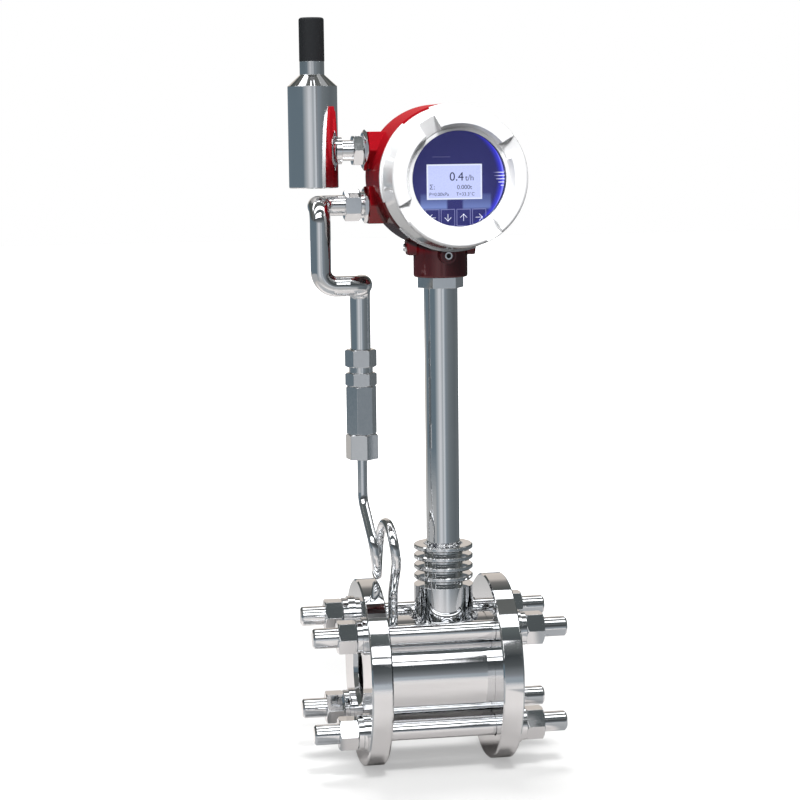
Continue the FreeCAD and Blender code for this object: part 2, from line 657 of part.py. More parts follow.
def front_cover():
    """Screwed front cover: tapered skirt with a rim, flat face, dished window and four ramps."""
    rim = COVER_RIM_D / 2
    back = COVER_BACK
    front = COVER_FRONT
    thread = SPIGOT_D / 2 + THREAD_SLIP
    seal = thread + SEAL_D + SEAL_GAP
    edge = COVER_FRONT_D / 2
    window = WINDOW_D / 2 + SEAL_GAP
    view = WINDOW_VIEW_D / 2
    ledge = WINDOW_FACE + WINDOW_THICK + WINDOW_RING_THICK + 1
    shoulder = SPIGOT_END - 1.5
    profile = [(seal, back), (rim, back), (rim, back - COVER_RIM), (rim - COVER_STEP, back - COVER_RIM),
               (edge, front + COVER_EDGE * 1.4), (edge - COVER_EDGE * 0.35, front + COVER_EDGE * 0.4),
               (edge - COVER_EDGE, front), (DISH_OUTER_D / 2, front),
               (DISH_INNER_D / 2, front + DISH_DEPTH), (view, front + DISH_DEPTH),
               (view, WINDOW_FACE), (window, WINDOW_FACE), (window, ledge),
               (SPIGOT_D / 2 - HEAD_WALL, ledge), (SPIGOT_D / 2 - HEAD_WALL, shoulder),
               (thread, shoulder), (thread, back - SEAL_D), (seal, back - SEAL_D)]
    cover = turned(profile, V(STEM_X, 0, HEAD_Z), Y_AXIS)
    return cover.cut(ramps(front, DISH_INNER_D / 2, edge, DISH_DEPTH, 1) + rim_reliefs())


def front_window():
    """Round toughened glass, seated behind the cover's lip."""
    return rod(WINDOW_D, V(STEM_X, WINDOW_FACE, HEAD_Z), WINDOW_THICK, Y_AXIS)


def window_ring():
    """Threaded ring that holds the glass from inside."""
    start = V(STEM_X, WINDOW_FACE + WINDOW_THICK, HEAD_Z)
    ring = rod(WINDOW_D, start, WINDOW_RING_THICK, Y_AXIS)
    return ring.cut(rod(WINDOW_D - 2 * WINDOW_RING_WALL, start, WINDOW_RING_THICK, Y_AXIS))


def cover_seal(spigot_d, y):
    """O-ring in the corner between a cover's rim and the head."""
    return Part.makeTorus(spigot_d / 2 + THREAD_SLIP + SEAL_D / 2, SEAL_D / 2, V(STEM_X, y, HEAD_Z), Y_AXIS)


def rear_cover():
    """Screwed blank cover of the terminal chamber, with the same four ramps in its face."""
    rim = REAR_COVER_D / 2
    thread = REAR_SPIGOT_D / 2 + THREAD_SLIP
    seal = thread + SEAL_D + SEAL_GAP
    start = REAR_COVER_START
    end = REAR_COVER_END
    inner = end - REAR_COVER_WALL
    shoulder = REAR_SPIGOT_END + 1
    profile = [(seal, start), (rim, start), (rim, end - COVER_EDGE * 1.4),
               (rim - COVER_EDGE * 0.35, end - COVER_EDGE * 0.4), (rim - COVER_EDGE, end),
               (DISH_OUTER_D / 2, end), (DISH_INNER_D / 2, end - REAR_COVER_WALL / 2),
               (0, end - REAR_COVER_WALL / 2), (0, inner), (REAR_SPIGOT_D / 2 - HEAD_WALL, inner),
               (REAR_SPIGOT_D / 2 - HEAD_WALL, shoulder), (thread, shoulder),
               (thread, start + SEAL_D), (seal, start + SEAL_D)]
    cover = turned(profile, V(STEM_X, 0, HEAD_Z), Y_AXIS)
    depth = REAR_COVER_WALL / 2
    return cover.cut(ramps(end, DISH_INNER_D / 2, rim, depth, -1))


def screen_box(y0, y1, gap):
    """The screen's outline as a box between two depths, with a clearance all round."""
    z = HEAD_Z - SCREEN_DROP
    half_w = SCREEN_WIDTH / 2 + gap
    half_h = SCREEN_HEIGHT / 2 + gap
    return block(STEM_X - half_w, STEM_X + half_w, y0, y1, z - half_h, z + half_h)


def display_plate():
    """Round front plate of the display with a window for the screen."""
    plate = rod(PLATE_D, V(STEM_X, PLATE_FACE, HEAD_Z), PLATE_THICK, Y_AXIS)
    return plate.cut(screen_box(PLATE_FACE - 1, PLATE_FACE + PLATE_THICK + 1, SCREEN_GAP))


def display_screen():
    """Graphic screen, flush with the plate and standing on the display board."""
    return screen_box(PLATE_FACE, PLATE_FACE + SCREEN_THICK, 0)


def pillar_places():
    """Axes of the pillars that carry the boards and the plate."""
    angles = [math.radians(PILLAR_ANGLE + 360 / PILLAR_COUNT * i) for i in range(PILLAR_COUNT)]
    return [(STEM_X + PILLAR_RADIUS * math.cos(a), HEAD_Z + PILLAR_RADIUS * math.sin(a)) for a in angles]


def drilled_board(diameter, y):
    """Round circuit board with a hole for each pillar."""
    board = rod(diameter, V(STEM_X, y, HEAD_Z), BOARD_THICK, Y_AXIS)
    hole = PILLAR_AF / math.cos(math.pi / 6) + 2 * SLIP_GAP
    return board.cut([rod(hole, V(x, y - 1, z), BOARD_THICK + 2, Y_AXIS) for x, z in pillar_places()])


def display_pillars():
    """Hexagonal pillars from the partition to the display plate."""
    length = PARTITION - PLATE_FACE - PLATE_THICK
    pillars = []
    for x, z in pillar_places():
        pillar = hexagon(PILLAR_AF, length, 0)
        pillar.Placement = FreeCAD.Placement(V(x, PARTITION, z), FreeCAD.Rotation(Z_AXIS, Y_AXIS * -1))
        pillars.append(pillar)
    return pillars


def terminal_block():
    """Terminal strip on the back of the partition, with a funnel for each wire."""
    y0 = REAR_CHAMBER
    half = TERMINAL_WIDTH / 2
    strip = block(STEM_X - half, STEM_X + half, y0, y0 + TERMINAL_DEPTH,
                  HEAD_Z - TERMINAL_HEIGHT / 2, HEAD_Z + TERMINAL_HEIGHT / 2)
    low = block(STEM_X - half - 1, STEM_X + half + 1, y0 + TERMINAL_DEPTH / 2, y0 + TERMINAL_DEPTH + 1,
                HEAD_Z - TERMINAL_HEIGHT, HEAD_Z - TERMINAL_HEIGHT / 4)
    strip = strip.cut(low)
    return strip.cut([rod(TERMINAL_SCREW_D + 2 * SLIP_GAP, V(x, y0 + TERMINAL_DEPTH / 2, terminal_z()),
                          TERMINAL_DEPTH, Y_AXIS) for x in terminal_places()])


def terminal_places():
    """Positions of the terminals along the strip."""
    pitch = TERMINAL_WIDTH / TERMINAL_WAYS
    return [STEM_X - TERMINAL_WIDTH / 2 + pitch * (i + 0.5) for i in range(TERMINAL_WAYS)]


def terminal_z():
    """Height of the row of terminal screws."""
    return HEAD_Z + TERMINAL_HEIGHT / 8


def terminal_screws():
    """Brass clamping screws of the terminals, each with a slot."""
    floor = REAR_CHAMBER + TERMINAL_DEPTH / 2
    length = TERMINAL_DEPTH / 2 - 1
    screws = []
    for x in terminal_places():
        screw = rod(TERMINAL_SCREW_D, V(x, floor, terminal_z()), length, Y_AXIS)
        slot = block(x - TERMINAL_SCREW_D, x + TERMINAL_SCREW_D, floor + length - 1, floor + length + 1,
                     terminal_z() - 0.4, terminal_z() + 0.4)
        screws.append(screw.cut(slot))
    return screws


def entry_shank(z, outer, bore):
    """Threaded shank of a cable gland, in the boss and through its locknut."""
    start = V(outer, 0, z)
    length = ENTRY_FACE_X + ENTRY_SHANK - outer
    return rod(ENTRY_THREAD_D, start, length, X_AXIS).cut(rod(bore, start, length, X_AXIS))


def upper_locknut():
    """Thin locknut against the upper boss."""
    origin = V(ENTRY_FACE_X - UPPER_NUT_THICK, 0, UPPER_ENTRY_Z)
    bore = ENTRY_THREAD_D + 2 * THREAD_GAP
    return hex_nut(UPPER_NUT_AF, UPPER_NUT_THICK, bore, 0, origin, X_AXIS)


def upper_gland():
    """Upper gland: hexagonal head and threaded shank in one piece, bored for the link tube."""
    face = ENTRY_FACE_X - UPPER_NUT_THICK
    bore = PIPE_D + 2 * SLIP_GAP
    head = hex_nut(UPPER_GLAND_AF, UPPER_GLAND_LEN, bore, FLATS_LEVEL,
                   V(face - UPPER_GLAND_LEN, 0, UPPER_ENTRY_Z), X_AXIS)
    return head.fuse(entry_shank(UPPER_ENTRY_Z, face, bore)).removeSplitter()


def module_skin():
    """Radius of the module's inner wall."""
    return MODULE_D / 2 - MODULE_WALL


def link_tube():
    """Short tube from the upper gland into the side of the radio module."""
    start = MODULE_X + module_skin() - 1.5
    end = ENTRY_FACE_X + ENTRY_SHANK / 2
    tube = rod(PIPE_D, V(start, 0, UPPER_ENTRY_Z), end - start, X_AXIS)
    return tube.cut(rod(PIPE_D - 2 * PIPE_WALL, V(start, 0, UPPER_ENTRY_Z), end - start, X_AXIS))


def link_collar():
    """Weld collar round the link tube, shaped to the module's side."""
    start = V(MODULE_X + module_skin(), 0, UPPER_ENTRY_Z)
    length = MODULE_WALL + LINK_COLLAR
    collar = rod(LINK_COLLAR_D, start, length, X_AXIS)
    collar = collar.cut(rod(PIPE_D + 2 * SLIP_GAP, start, length, X_AXIS))
    return collar.cut(rod(MODULE_D + 2 * SLIP_GAP, V(MODULE_X, 0, MODULE_BOTTOM), HEAD_D, Z_AXIS))


def module_shell():
    """Turned radio module: straight wall, cone, neck and the spigot that carries the cap."""
    r = MODULE_D / 2
    wall = MODULE_WALL
    neck = MODULE_NECK_D / 2
    spigot = MODULE_SPIGOT_D / 2
    cone_top = MODULE_SHOULDER + MODULE_CONE
    neck_top = cone_top + MODULE_NECK
    spigot_top = neck_top + MODULE_SPIGOT
    e = MODULE_EDGE
    profile = [(r - e, MODULE_BOTTOM), (r, MODULE_BOTTOM + e), (r, MODULE_SHOULDER), (neck, cone_top),
               (neck, neck_top), (spigot, neck_top), (spigot, spigot_top),
               (spigot - wall, spigot_top), (spigot - wall, cone_top - wall),
               (r - wall, MODULE_SHOULDER - wall), (r - wall, MODULE_BOTTOM)]
    shell = turned(profile, V(MODULE_X, 0, 0), Z_AXIS)
    return shell.cut(rod(PIPE_D + 2 * SLIP_GAP, V(MODULE_X, 0, UPPER_ENTRY_Z), MODULE_D, X_AXIS))


def module_plug():
    """Round plug that closes the bottom of the module."""
    return rod(MODULE_D - 2 * MODULE_WALL - 2 * SLIP_GAP, V(MODULE_X, 0, MODULE_BOTTOM + 1),
               MODULE_PLUG, Z_AXIS)


def radio_board():
    """Transmitter board standing on the module's plug."""
    foot = MODULE_BOTTOM + 1 + MODULE_PLUG
    half = RADIO_BOARD_WIDTH / 2
    return block(MODULE_X - half, MODULE_X + half, PIPE_D / 2, PIPE_D / 2 + BOARD_THICK,
                 foot, foot + RADIO_BOARD_HEIGHT)


def cap_base_z():
    """Height of the cap's lower edge."""
    return MODULE_SHOULDER + MODULE_CONE + MODULE_NECK


def antenna_cap():
    """Moulded cap over the aerial, with a rounded top."""
    r = CAP_D / 2
    base = cap_base_z()
    cap = rod(CAP_D, V(MODULE_X, 0, base), CAP_HEIGHT, Z_AXIS)
    top_rim = [e for e in cap.Edges if abs(e.CenterOfMass.z - base - CAP_HEIGHT) < 0.01]
    cap = cap.makeFillet(CAP_EDGE, top_rim)
    inner = min(r - CAP_WALL, MODULE_SPIGOT_D / 2 + SLIP_GAP)
    return cap.cut(rod(2 * inner, V(MODULE_X, 0, base), CAP_HEIGHT - CAP_WALL, Z_AXIS))


def aerial():
    """Aerial rod standing in the spigot and reaching up inside the cap."""
    foot = cap_base_z()
    rise = CAP_HEIGHT - CAP_WALL
    stem = rod(AERIAL_D, V(MODULE_X, 0, foot), rise, Z_AXIS)
    bush_d = MODULE_SPIGOT_D - 2 * MODULE_WALL - 2 * SLIP_GAP
    return stem.fuse(rod(bush_d, V(MODULE_X, 0, foot), MODULE_SPIGOT / 2, Z_AXIS))


def lower_locknut():
    """Thin locknut against the lower boss."""
    origin = V(ENTRY_FACE_X - LOWER_NUT_THICK, 0, LOWER_ENTRY_Z)
    bore = ENTRY_THREAD_D + 2 * THREAD_GAP
    return hex_nut(LOWER_NUT_AF, LOWER_NUT_THICK, bore, 0, origin, X_AXIS)


def lower_gland_body():
    """Lower gland body: threaded shank and the ring that its nut draws up to."""
    face = ENTRY_FACE_X - LOWER_NUT_THICK
    bore = PIPE_D + 2 * SLIP_GAP
    ring = rod(LOWER_RING_D, V(face - LOWER_RING, 0, LOWER_ENTRY_Z), LOWER_RING, X_AXIS)
    ring = ring.cut(rod(bore, V(face - LOWER_RING, 0, LOWER_ENTRY_Z), LOWER_RING, X_AXIS))
    return ring.fuse(entry_shank(LOWER_ENTRY_Z, face, bore)).removeSplitter()


def lower_gland_nut():
    """Long hexagonal nut that grips the conduit, one flat to the front."""
    return hex_nut(LOWER_GLAND_AF, LOWER_GLAND_LEN, PIPE_D + 2 * SLIP_GAP, 0,
                   V(lower_gland_end(), 0, LOWER_ENTRY_Z), X_AXIS)


def lower_gland_end():
    """Outer end of the lower gland nut along X."""
    return ENTRY_FACE_X - LOWER_NUT_THICK - LOWER_RING - LOWER_GLAND_LEN


def conduit_tube():
    """Rigid bent conduit: out to the left, forward, down, back under the head and down again."""
    left = STEM_X - CONDUIT_LEFT
    front = -CONDUIT_FORWARD
    high = LOWER_ENTRY_Z
    low = CONDUIT_LOW_Z
    foot = ADAPTER_TOP + ADAPTER_LIP - ADAPTER_SOCKET
    points = [V(ENTRY_FACE_X + ENTRY_SHANK / 2, 0, high), V(left, 0, high), V(left, front, high),
              V(left, front, low), V(CONDUIT_X, front, low), V(CONDUIT_X, 0, low), V(CONDUIT_X, 0, foot)]
    return bent_tube(points, CONDUIT_BEND, PIPE_D, PIPE_WALL)


def conduit_nut():
    """Hexagonal nut that holds the conduit in the adapter."""
    nut = hex_nut(CONDUIT_NUT_AF, CONDUIT_NUT_LEN, PIPE_D + 2 * SLIP_GAP, HEX_TURN_UPPER,
                  V(CONDUIT_X, 0, ADAPTER_TOP), Z_AXIS)
    return nut.cut(rod(ADAPTER_NECK_D + 2 * SLIP_GAP, V(CONDUIT_X, 0, ADAPTER_TOP - 1),
                       ADAPTER_LIP + 1, Z_AXIS))


def sensor_adapter():
    """Adapter: round neck with a socket for the conduit, and a hexagon below it."""
    hex_top = ADAPTER_TOP - ADAPTER_NECK
    hex_low = hex_top - ADAPTER_HEX
    neck_top = ADAPTER_TOP + ADAPTER_LIP
    piece = hex_nut(ADAPTER_AF, ADAPTER_HEX, SENSOR_STUD_D + 2 * THREAD_GAP, HEX_TURN_UPPER,
                    V(CONDUIT_X, 0, hex_low), Z_AXIS)
    neck = rod(ADAPTER_NECK_D, V(CONDUIT_X, 0, hex_top), neck_top - hex_top, Z_AXIS)
    neck = neck.cut(rod(PIPE_D - 2 * PIPE_WALL, V(CONDUIT_X, 0, hex_top), ADAPTER_NECK, Z_AXIS))
    neck = neck.cut(rod(PIPE_D + 2 * SLIP_GAP, V(CONDUIT_X, 0, neck_top - ADAPTER_SOCKET),
                        ADAPTER_SOCKET, Z_AXIS))
    return piece.fuse(neck).removeSplitter()


def sensor_body():
    """Pressure sensor in a long hexagonal case, with a stud above and a spigot below."""
    case = hex_nut(SENSOR_AF, SENSOR_LEN, TAP_D, HEX_TURN_SENSOR, V(CONDUIT_X, 0, SENSOR_BOTTOM), Z_AXIS)
    stud = rod(SENSOR_STUD_D, V(CONDUIT_X, 0, SENSOR_TOP), SENSOR_STUD, Z_AXIS)
    spigot_foot = SENSOR_BOTTOM - SENSOR_SPIGOT
    spigot = rod(SENSOR_SPIGOT_D, V(CONDUIT_X, 0, spigot_foot), SENSOR_SPIGOT, Z_AXIS)
    sensor = case.fuse([stud, spigot]).removeSplitter()
    plug = rod(TAP_D, V(CONDUIT_X, 0, SENSOR_TOP - SENSOR_LEN / 2), SENSOR_LEN / 2, Z_AXIS)
    hole = rod(TAP_D, V(CONDUIT_X, 0, spigot_foot), SENSOR_SPIGOT, Z_AXIS)
    return sensor.fuse(plug).cut(hole).removeSplitter()


def union_nut():
    """Union nut that couples the siphon tube to the sensor."""
    nut = hex_nut(UNION_AF, UNION_LEN, SIPHON_D + 2 * SLIP_GAP, HEX_TURN_UNION,
                  V(CONDUIT_X, 0, UNION_BOTTOM), Z_AXIS, "high")
    depth = SENSOR_SPIGOT + SLIP_GAP
    return nut.cut(rod(SENSOR_SPIGOT_D + 2 * SLIP_GAP, V(CONDUIT_X, 0, SENSOR_BOTTOM - depth),
                       depth + 1, Z_AXIS))


def siphon_points():
    """Corners of the siphon's centreline: down, once round a leaning loop about X, into the barrel."""
    corner_r = SIPHON_LOOP / math.cos(math.pi / SIPHON_SIDES)
    step = 360 / SIPHON_SIDES
    turns = [math.radians(180 + step * (i + 0.5)) for i in range(SIPHON_SIDES)]
    loop = [(corner_r * math.cos(a), SIPHON_LOOP_Z + corner_r * math.sin(a)) for a in turns]
    side = 2 * SIPHON_LOOP * math.tan(math.pi / SIPHON_SIDES)
    entry = (-SIPHON_LOOP, loop[0][1] + side)
    leave = (-SIPHON_LOOP, loop[-1][1] - side)
    route = [entry] + loop + [leave]
    start = V(CONDUIT_X, 0, SENSOR_BOTTOM - SENSOR_SPIGOT - SLIP_GAP)
    points = [start, V(CONDUIT_X, 0, SIPHON_TOP_BEND_Z)]
    first_x = MID_X + SIPHON_ENTRY_X
    step_x = (SIPHON_X - first_x) / (len(route) - 1)
    for i, (y, z) in enumerate(route):
        lean = SIPHON_LEAN * (1 + y / SIPHON_LOOP) / 2
        points.append(V(first_x + step_x * i + lean, y, z))
    points.append(V(SIPHON_X, 0, SIPHON_LOW_BEND_Z))
    points.append(V(SIPHON_X, 0, BARREL_D / 2 - SIPHON_SOCKET))
    return points


def siphon_tube():
    """Siphon of small steel tube between the barrel's tapping and the pressure sensor."""
    return bent_tube(siphon_points(), SIPHON_LOOP, SIPHON_D, SIPHON_WALL)


def save(name, pieces):
    """Write one sub-part, or a group of like pieces, as a STEP file."""
    shape = Part.makeCompound(pieces) if isinstance(pieces, list) else pieces
    shape.exportStep(os.path.join("parts", name + ".step"))


def build():
    """Make every sub-part in the order in which the meter is put together."""
    save("meter_body", meter_body())
    save("shedder_bar", shedder_bar())
    save("vortex_sensor", vortex_sensor())
    save("inlet_gasket", gasket(MID_X - BODY_HALF - GASKET_THICK))
    save("outlet_gasket", gasket(MID_X + BODY_HALF))
    save("inlet_flange", flange(-PIPE_CHAMFER, X_AXIS))
    save("outlet_flange", flange(OUTLET_X + PIPE_CHAMFER, X_AXIS * -1))
    save("clamp_studs", clamp_studs())
    save("flat_washers", at_both_ends(flat_washer, 0))
    save("spring_washers", at_both_ends(spring_washer, WASHER_THICK))
    save("clamp_nuts", at_both_ends(clamp_nut, WASHER_THICK + SPRING_THICK))
    save("cooling_neck", cooling_neck())
    save("stem_tube", stem_tube())
    save("stem_lock_nut", stem_lock_nut())
    save("head_housing", head_housing())
    save("neck_lock_screw", neck_lock_screw())
    save("ground_screw", ground_screw())
    save("power_board", drilled_board(POWER_BOARD_D, POWER_BOARD_BACK - BOARD_THICK))
    save("display_pillars", display_pillars())
    save("display_board", drilled_board(DISPLAY_BOARD_D, PLATE_FACE + SCREEN_THICK))
    save("display_screen", display_screen())
    save("display_plate", display_plate())
    save("front_seal", cover_seal(SPIGOT_D, COVER_BACK - SEAL_D / 2 + SEAL_GAP / 2))
    save("front_window", front_window())
    save("window_ring", window_ring())
    save("front_cover", front_cover())
    save("terminal_block", terminal_block())
    save("terminal_screws", terminal_screws())
    save("rear_seal", cover_seal(REAR_SPIGOT_D, REAR_COVER_START + SEAL_D / 2 - SEAL_GAP / 2))
    save("rear_cover", rear_cover())
    save("upper_locknut", upper_locknut())
    save("upper_gland", upper_gland())
    save("link_tube", link_tube())
    save("link_collar", link_collar())
    save("module_shell", module_shell())
    save("module_plug", module_plug())
    save("radio_board", radio_board())
    save("aerial", aerial())
    save("antenna_cap", antenna_cap())
    save("lower_locknut", lower_locknut())
    save("lower_gland_body", lower_gland_body())
    save("lower_gland_nut", lower_gland_nut())
    save("conduit_tube", conduit_tube())
    save("conduit_nut", conduit_nut())
    save("sensor_adapter", sensor_adapter())
    save("sensor_body", sensor_body())
    save("union_nut", union_nut())
    save("siphon_tube", siphon_tube())


os.makedirs("parts", exist_ok=True)
build()
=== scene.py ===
import math
import bpy
import numpy as np
from mathutils import Matrix, Vector


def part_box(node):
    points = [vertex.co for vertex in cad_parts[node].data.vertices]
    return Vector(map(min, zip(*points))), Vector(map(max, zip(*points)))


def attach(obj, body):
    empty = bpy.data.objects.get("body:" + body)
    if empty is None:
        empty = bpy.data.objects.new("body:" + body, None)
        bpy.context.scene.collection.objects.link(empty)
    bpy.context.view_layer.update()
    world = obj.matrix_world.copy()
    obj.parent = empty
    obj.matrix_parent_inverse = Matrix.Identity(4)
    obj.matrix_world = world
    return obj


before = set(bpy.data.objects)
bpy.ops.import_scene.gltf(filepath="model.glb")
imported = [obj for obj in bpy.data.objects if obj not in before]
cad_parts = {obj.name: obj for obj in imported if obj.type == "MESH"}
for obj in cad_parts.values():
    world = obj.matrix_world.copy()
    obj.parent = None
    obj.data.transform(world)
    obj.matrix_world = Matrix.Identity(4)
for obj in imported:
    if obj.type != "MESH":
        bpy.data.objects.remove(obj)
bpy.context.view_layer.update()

# The photograph's viewpoint: a long lens, left of the meter and higher than it, turned down by seven degrees.
# Its place, turn and focal length were fitted to the outlines of the flanges, the stem and the head.
CAMERA_PLACE = Vector((-0.24005, -1.62824, 0.43453))
CAMERA_TURN = math.radians(-9.5352)
CAMERA_TILT = math.radians(7.3936)
CAMERA_ROLL = math.radians(-0.6933)
SENSOR_MM = 36.0
FOCAL_PIXELS = 2088.37
PICTURE_PIXELS = 800

back = Vector((math.sin(CAMERA_TURN) * math.cos(CAMERA_TILT),
               -math.cos(CAMERA_TURN) * math.cos(CAMERA_TILT), math.sin(CAMERA_TILT)))
level = Vector((math.cos(CAMERA_TURN), math.sin(CAMERA_TURN), 0))
rise = back.cross(level)
right = math.cos(CAMERA_ROLL) * level + math.sin(CAMERA_ROLL) * rise
up = math.cos(CAMERA_ROLL) * rise - math.sin(CAMERA_ROLL) * level
camera = bpy.data.objects.new("camera", bpy.data.cameras.new("camera"))
camera.data.sensor_width = SENSOR_MM
camera.data.lens = FOCAL_PIXELS / PICTURE_PIXELS * SENSOR_MM
camera.data.clip_start = 0.05
camera.data.clip_end = 50
camera.matrix_world = Matrix.Translation(CAMERA_PLACE) @ Matrix((right, up, back)).transposed().to_4x4()
bpy.context.scene.collection.objects.link(camera)
bpy.context.scene.camera = camera
bpy.context.scene.view_settings.view_transform = "Standard"


# The studio: a plain pale floor under the flanges and a white backdrop, with soft strips of light overhead.
# The strips, the dark gaps between them and the walls are painted on the world by direction alone.
class Socket:
    """A number output of a node tree. Python's arithmetic on it adds Math nodes to the same tree."""

    def __init__(self, tree, output):
        self.tree = tree
        self.output = output

    def math(self, operation, *values):
        """One Math node on this socket and up to two more values."""
        inputs = {i: v for i, v in enumerate((self,) + values)}
        return self.tree.add("ShaderNodeMath", {"operation": operation}, inputs).out()

    def __add__(self, other):
        return self.math("ADD", other)

    __radd__ = __add__

    def __sub__(self, other):
        return self.math("SUBTRACT", other)

    def __rsub__(self, other):
        return (self * -1) + other

    def __mul__(self, other):
        return self.math("MULTIPLY", other)

    __rmul__ = __mul__

    def __truediv__(self, other):
        return self.math("DIVIDE", other)

    def ease(self, low, high):
        """Rises smoothly from 0 at low to 1 at high."""
        settings = {"interpolation_type": "SMOOTHSTEP"}
        return self.tree.add("ShaderNodeMapRange", settings, {0: self, 1: low, 2: high}).out()

    def strip(self, begin, full, fading, gone):
        """Rises from 0 to 1 between begin and full, and falls back to 0 between fading and gone."""
        return self.ease(begin, full) * (1 - self.ease(fading, gone))

    def between(self, low, high, edge):
        """1 between low and high, reaching 0 by the edge's width outside them."""
        return self.strip(low - edge, low + edge, high - edge, high + edge)


class Node:
    """One node of a tree, with its outputs by name or number."""

    def __init__(self, tree, node):
        self.tree = tree
        self.node = node

    def out(self, name=0):
        """The output of that name or number that the node's settings leave in use."""
        outputs = [o for o in self.node.outputs if o.enabled]
        chosen = outputs[name] if isinstance(name, int) else next(o for o in outputs if o.name == name)
        return Socket(self.tree, chosen)


class Tree:
    """The node tree of a material or of the world."""

    def __init__(self, owner):
        owner.use_nodes = True
        self.nodes = owner.node_tree.nodes
        self.links = owner.node_tree.links
        self.nodes.clear()

    def add(self, kind, settings=None, inputs=None):
        """A node: its settings first, a ramp's stops among them, then the values or links of its sockets."""
        node = self.nodes.new(kind)
        for name, value in (settings or {}).items():
            if name == "stops":
                self.set_stops(node.color_ramp, value)
            else:
                setattr(node, name, value)
        enabled = [s for s in node.inputs if s.enabled]
        for name, value in (inputs or {}).items():
            socket = enabled[name] if isinstance(name, int) else next(s for s in enabled if s.name == name)
            if isinstance(value, Socket):
                self.links.new(value.output, socket)
            else:
                socket.default_value = value
        return Node(self, node)

    def set_stops(self, ramp, stops):
        """The places and colours of a colour ramp."""
        while len(ramp.elements) < len(stops):
            ramp.elements.new(1.0)
        for element, (place, colour) in zip(ramp.elements, stops):
            element.position = place
            element.color = (*colour, 1)

    def blend(self, share, under, over):
        """The colour under, with the colour over laid on it by a share from 0 to 1."""
        inputs = {"Factor": share, "A": as_colour(under), "B": as_colour(over)}
        return self.add("ShaderNodeMix", {"data_type": "RGBA"}, inputs).out("Result")


def as_colour(value):
    """Three numbers as a colour with full alpha; a socket is left as it is."""
    return value if isinstance(value, Socket) else (*value, 1)


BACKDROP = (1.0, 1.0, 1.0)
BACK_LIGHT = (0.60, 0.57, 0.54)
GROUND_GREY = (0.52, 0.52, 0.52)
SIDE_DARK = (0.09, 0.10, 0.095)
STRIP_WHITE = (3.0, 3.0, 3.05)
DIFFUSE_ABOVE = 0.50
DIFFUSE_BELOW = 0.10

# Each strip overhead, as the degrees of roll where it begins, is full, starts to fade and is gone.
SHORT_STRIP = (22.3, 23.3, 28.1, 29.1)
LONG_STRIP = (31.0, 32.0, 43.8, 44.5)
HIGH_STRIP = (60.5, 61.1, 76.7, 78.5)
GLINT_STRIP = (95.3, 95.9, 97.9, 98.5)
BACK_STRIP = (101.8, 104.2, 118.3, 119.3)

# How far they reach, the front ones in degrees of turn and the others as shares of the direction.
FRONT_STRIPS_REACH = (-60, 30)
SHORT_STRIP_END = (10.8, 12.4)
BACK_STRIP_END = (0.31, 0.36)
LEFT_GLINT = (-0.05, -0.012)
RIGHT_GLINT = (0.086, 0.116)
STRIP_END = (0.80, 0.90)

# Directions in degrees: height over the horizon, turn from the front to the right, and roll from the front
# up over the top to the back. Rightward and sideways are shares of the direction itself.
world = bpy.data.worlds.new("studio")
bpy.context.scene.world = world
studio = Tree(world)
direction = studio.add("ShaderNodeTexCoord").out("Generated")
parts = studio.add("ShaderNodeSeparateXYZ", None, {0: direction})
rightward = parts.out("X")
frontward = parts.out("Y") * -1
to_degrees = 180 / math.pi
height = parts.out("Z").math("ARCSINE") * to_degrees
turn = rightward.math("ARCTAN2", frontward) * to_degrees
roll = parts.out("Z").math("ARCTAN2", frontward) * to_degrees
sideways = rightward.math("ABSOLUTE")

# Over the object, from straight down past the front and the top to the back.
over = studio.add("ShaderNodeValToRGB", {"stops": [
    (0.0, (0.62, 0.58, 0.55)), (0.111, (0.58, 0.56, 0.55)), (0.259, (0.66, 0.64, 0.63)),
    (0.293, (0.74, 0.70, 0.68)), (0.307, (0.54, 0.545, 0.55)), (0.322, (0.335, 0.36, 0.40)),
    (0.341, (0.23, 0.245, 0.26)), (0.378, (0.10, 0.11, 0.115)), (0.422, (0.055, 0.062, 0.066)),
    (0.477, (0.19, 0.20, 0.20)), (0.487, (0.08, 0.09, 0.095)), (0.552, (0.14, 0.16, 0.16)),
    (0.64, (0.15, 0.155, 0.15)), (0.770, (0.14, 0.145, 0.14)), (0.785, (0.10, 0.105, 0.10)),
    (0.844, (0.22, 0.21, 0.20)), (0.88, (0.66, 0.60, 0.55)), (1.0, (0.74, 0.67, 0.61))]},
    {0: (roll + 90) / 270}).out("Color")
beside_barrel = 1 - rightward.between(-0.225, 0.31, 0.015)
over = studio.blend(roll.ease(128, 140) * beside_barrel, over, SIDE_DARK)

# The long strip tapers to the right: its lower edge rises and its upper edge comes down.
lower_rise = (turn - 12.3).math("MAXIMUM", 0) * 2.8
upper_drop = turn.ease(10.9, 14) * 1.2
long_strip = (roll - lower_rise).ease(*LONG_STRIP[:2]) * (1 - (roll + upper_drop).ease(*LONG_STRIP[2:]))
short_strip = roll.strip(*SHORT_STRIP) * (1 - turn.ease(*SHORT_STRIP_END))
front_strips = (long_strip + short_strip) * turn.between(*FRONT_STRIPS_REACH, 4)
back_strip = roll.strip(*BACK_STRIP) * (1 - rightward.ease(*BACK_STRIP_END) * 0.9)
glints = roll.strip(*GLINT_STRIP) * (
    rightward.between(*LEFT_GLINT, 0.008) + rightward.between(*RIGHT_GLINT, 0.008))
strips = front_strips + roll.strip(*HIGH_STRIP) + back_strip + glints
over = studio.blend(strips * (1 - sideways.ease(*STRIP_END)), over, STRIP_WHITE)

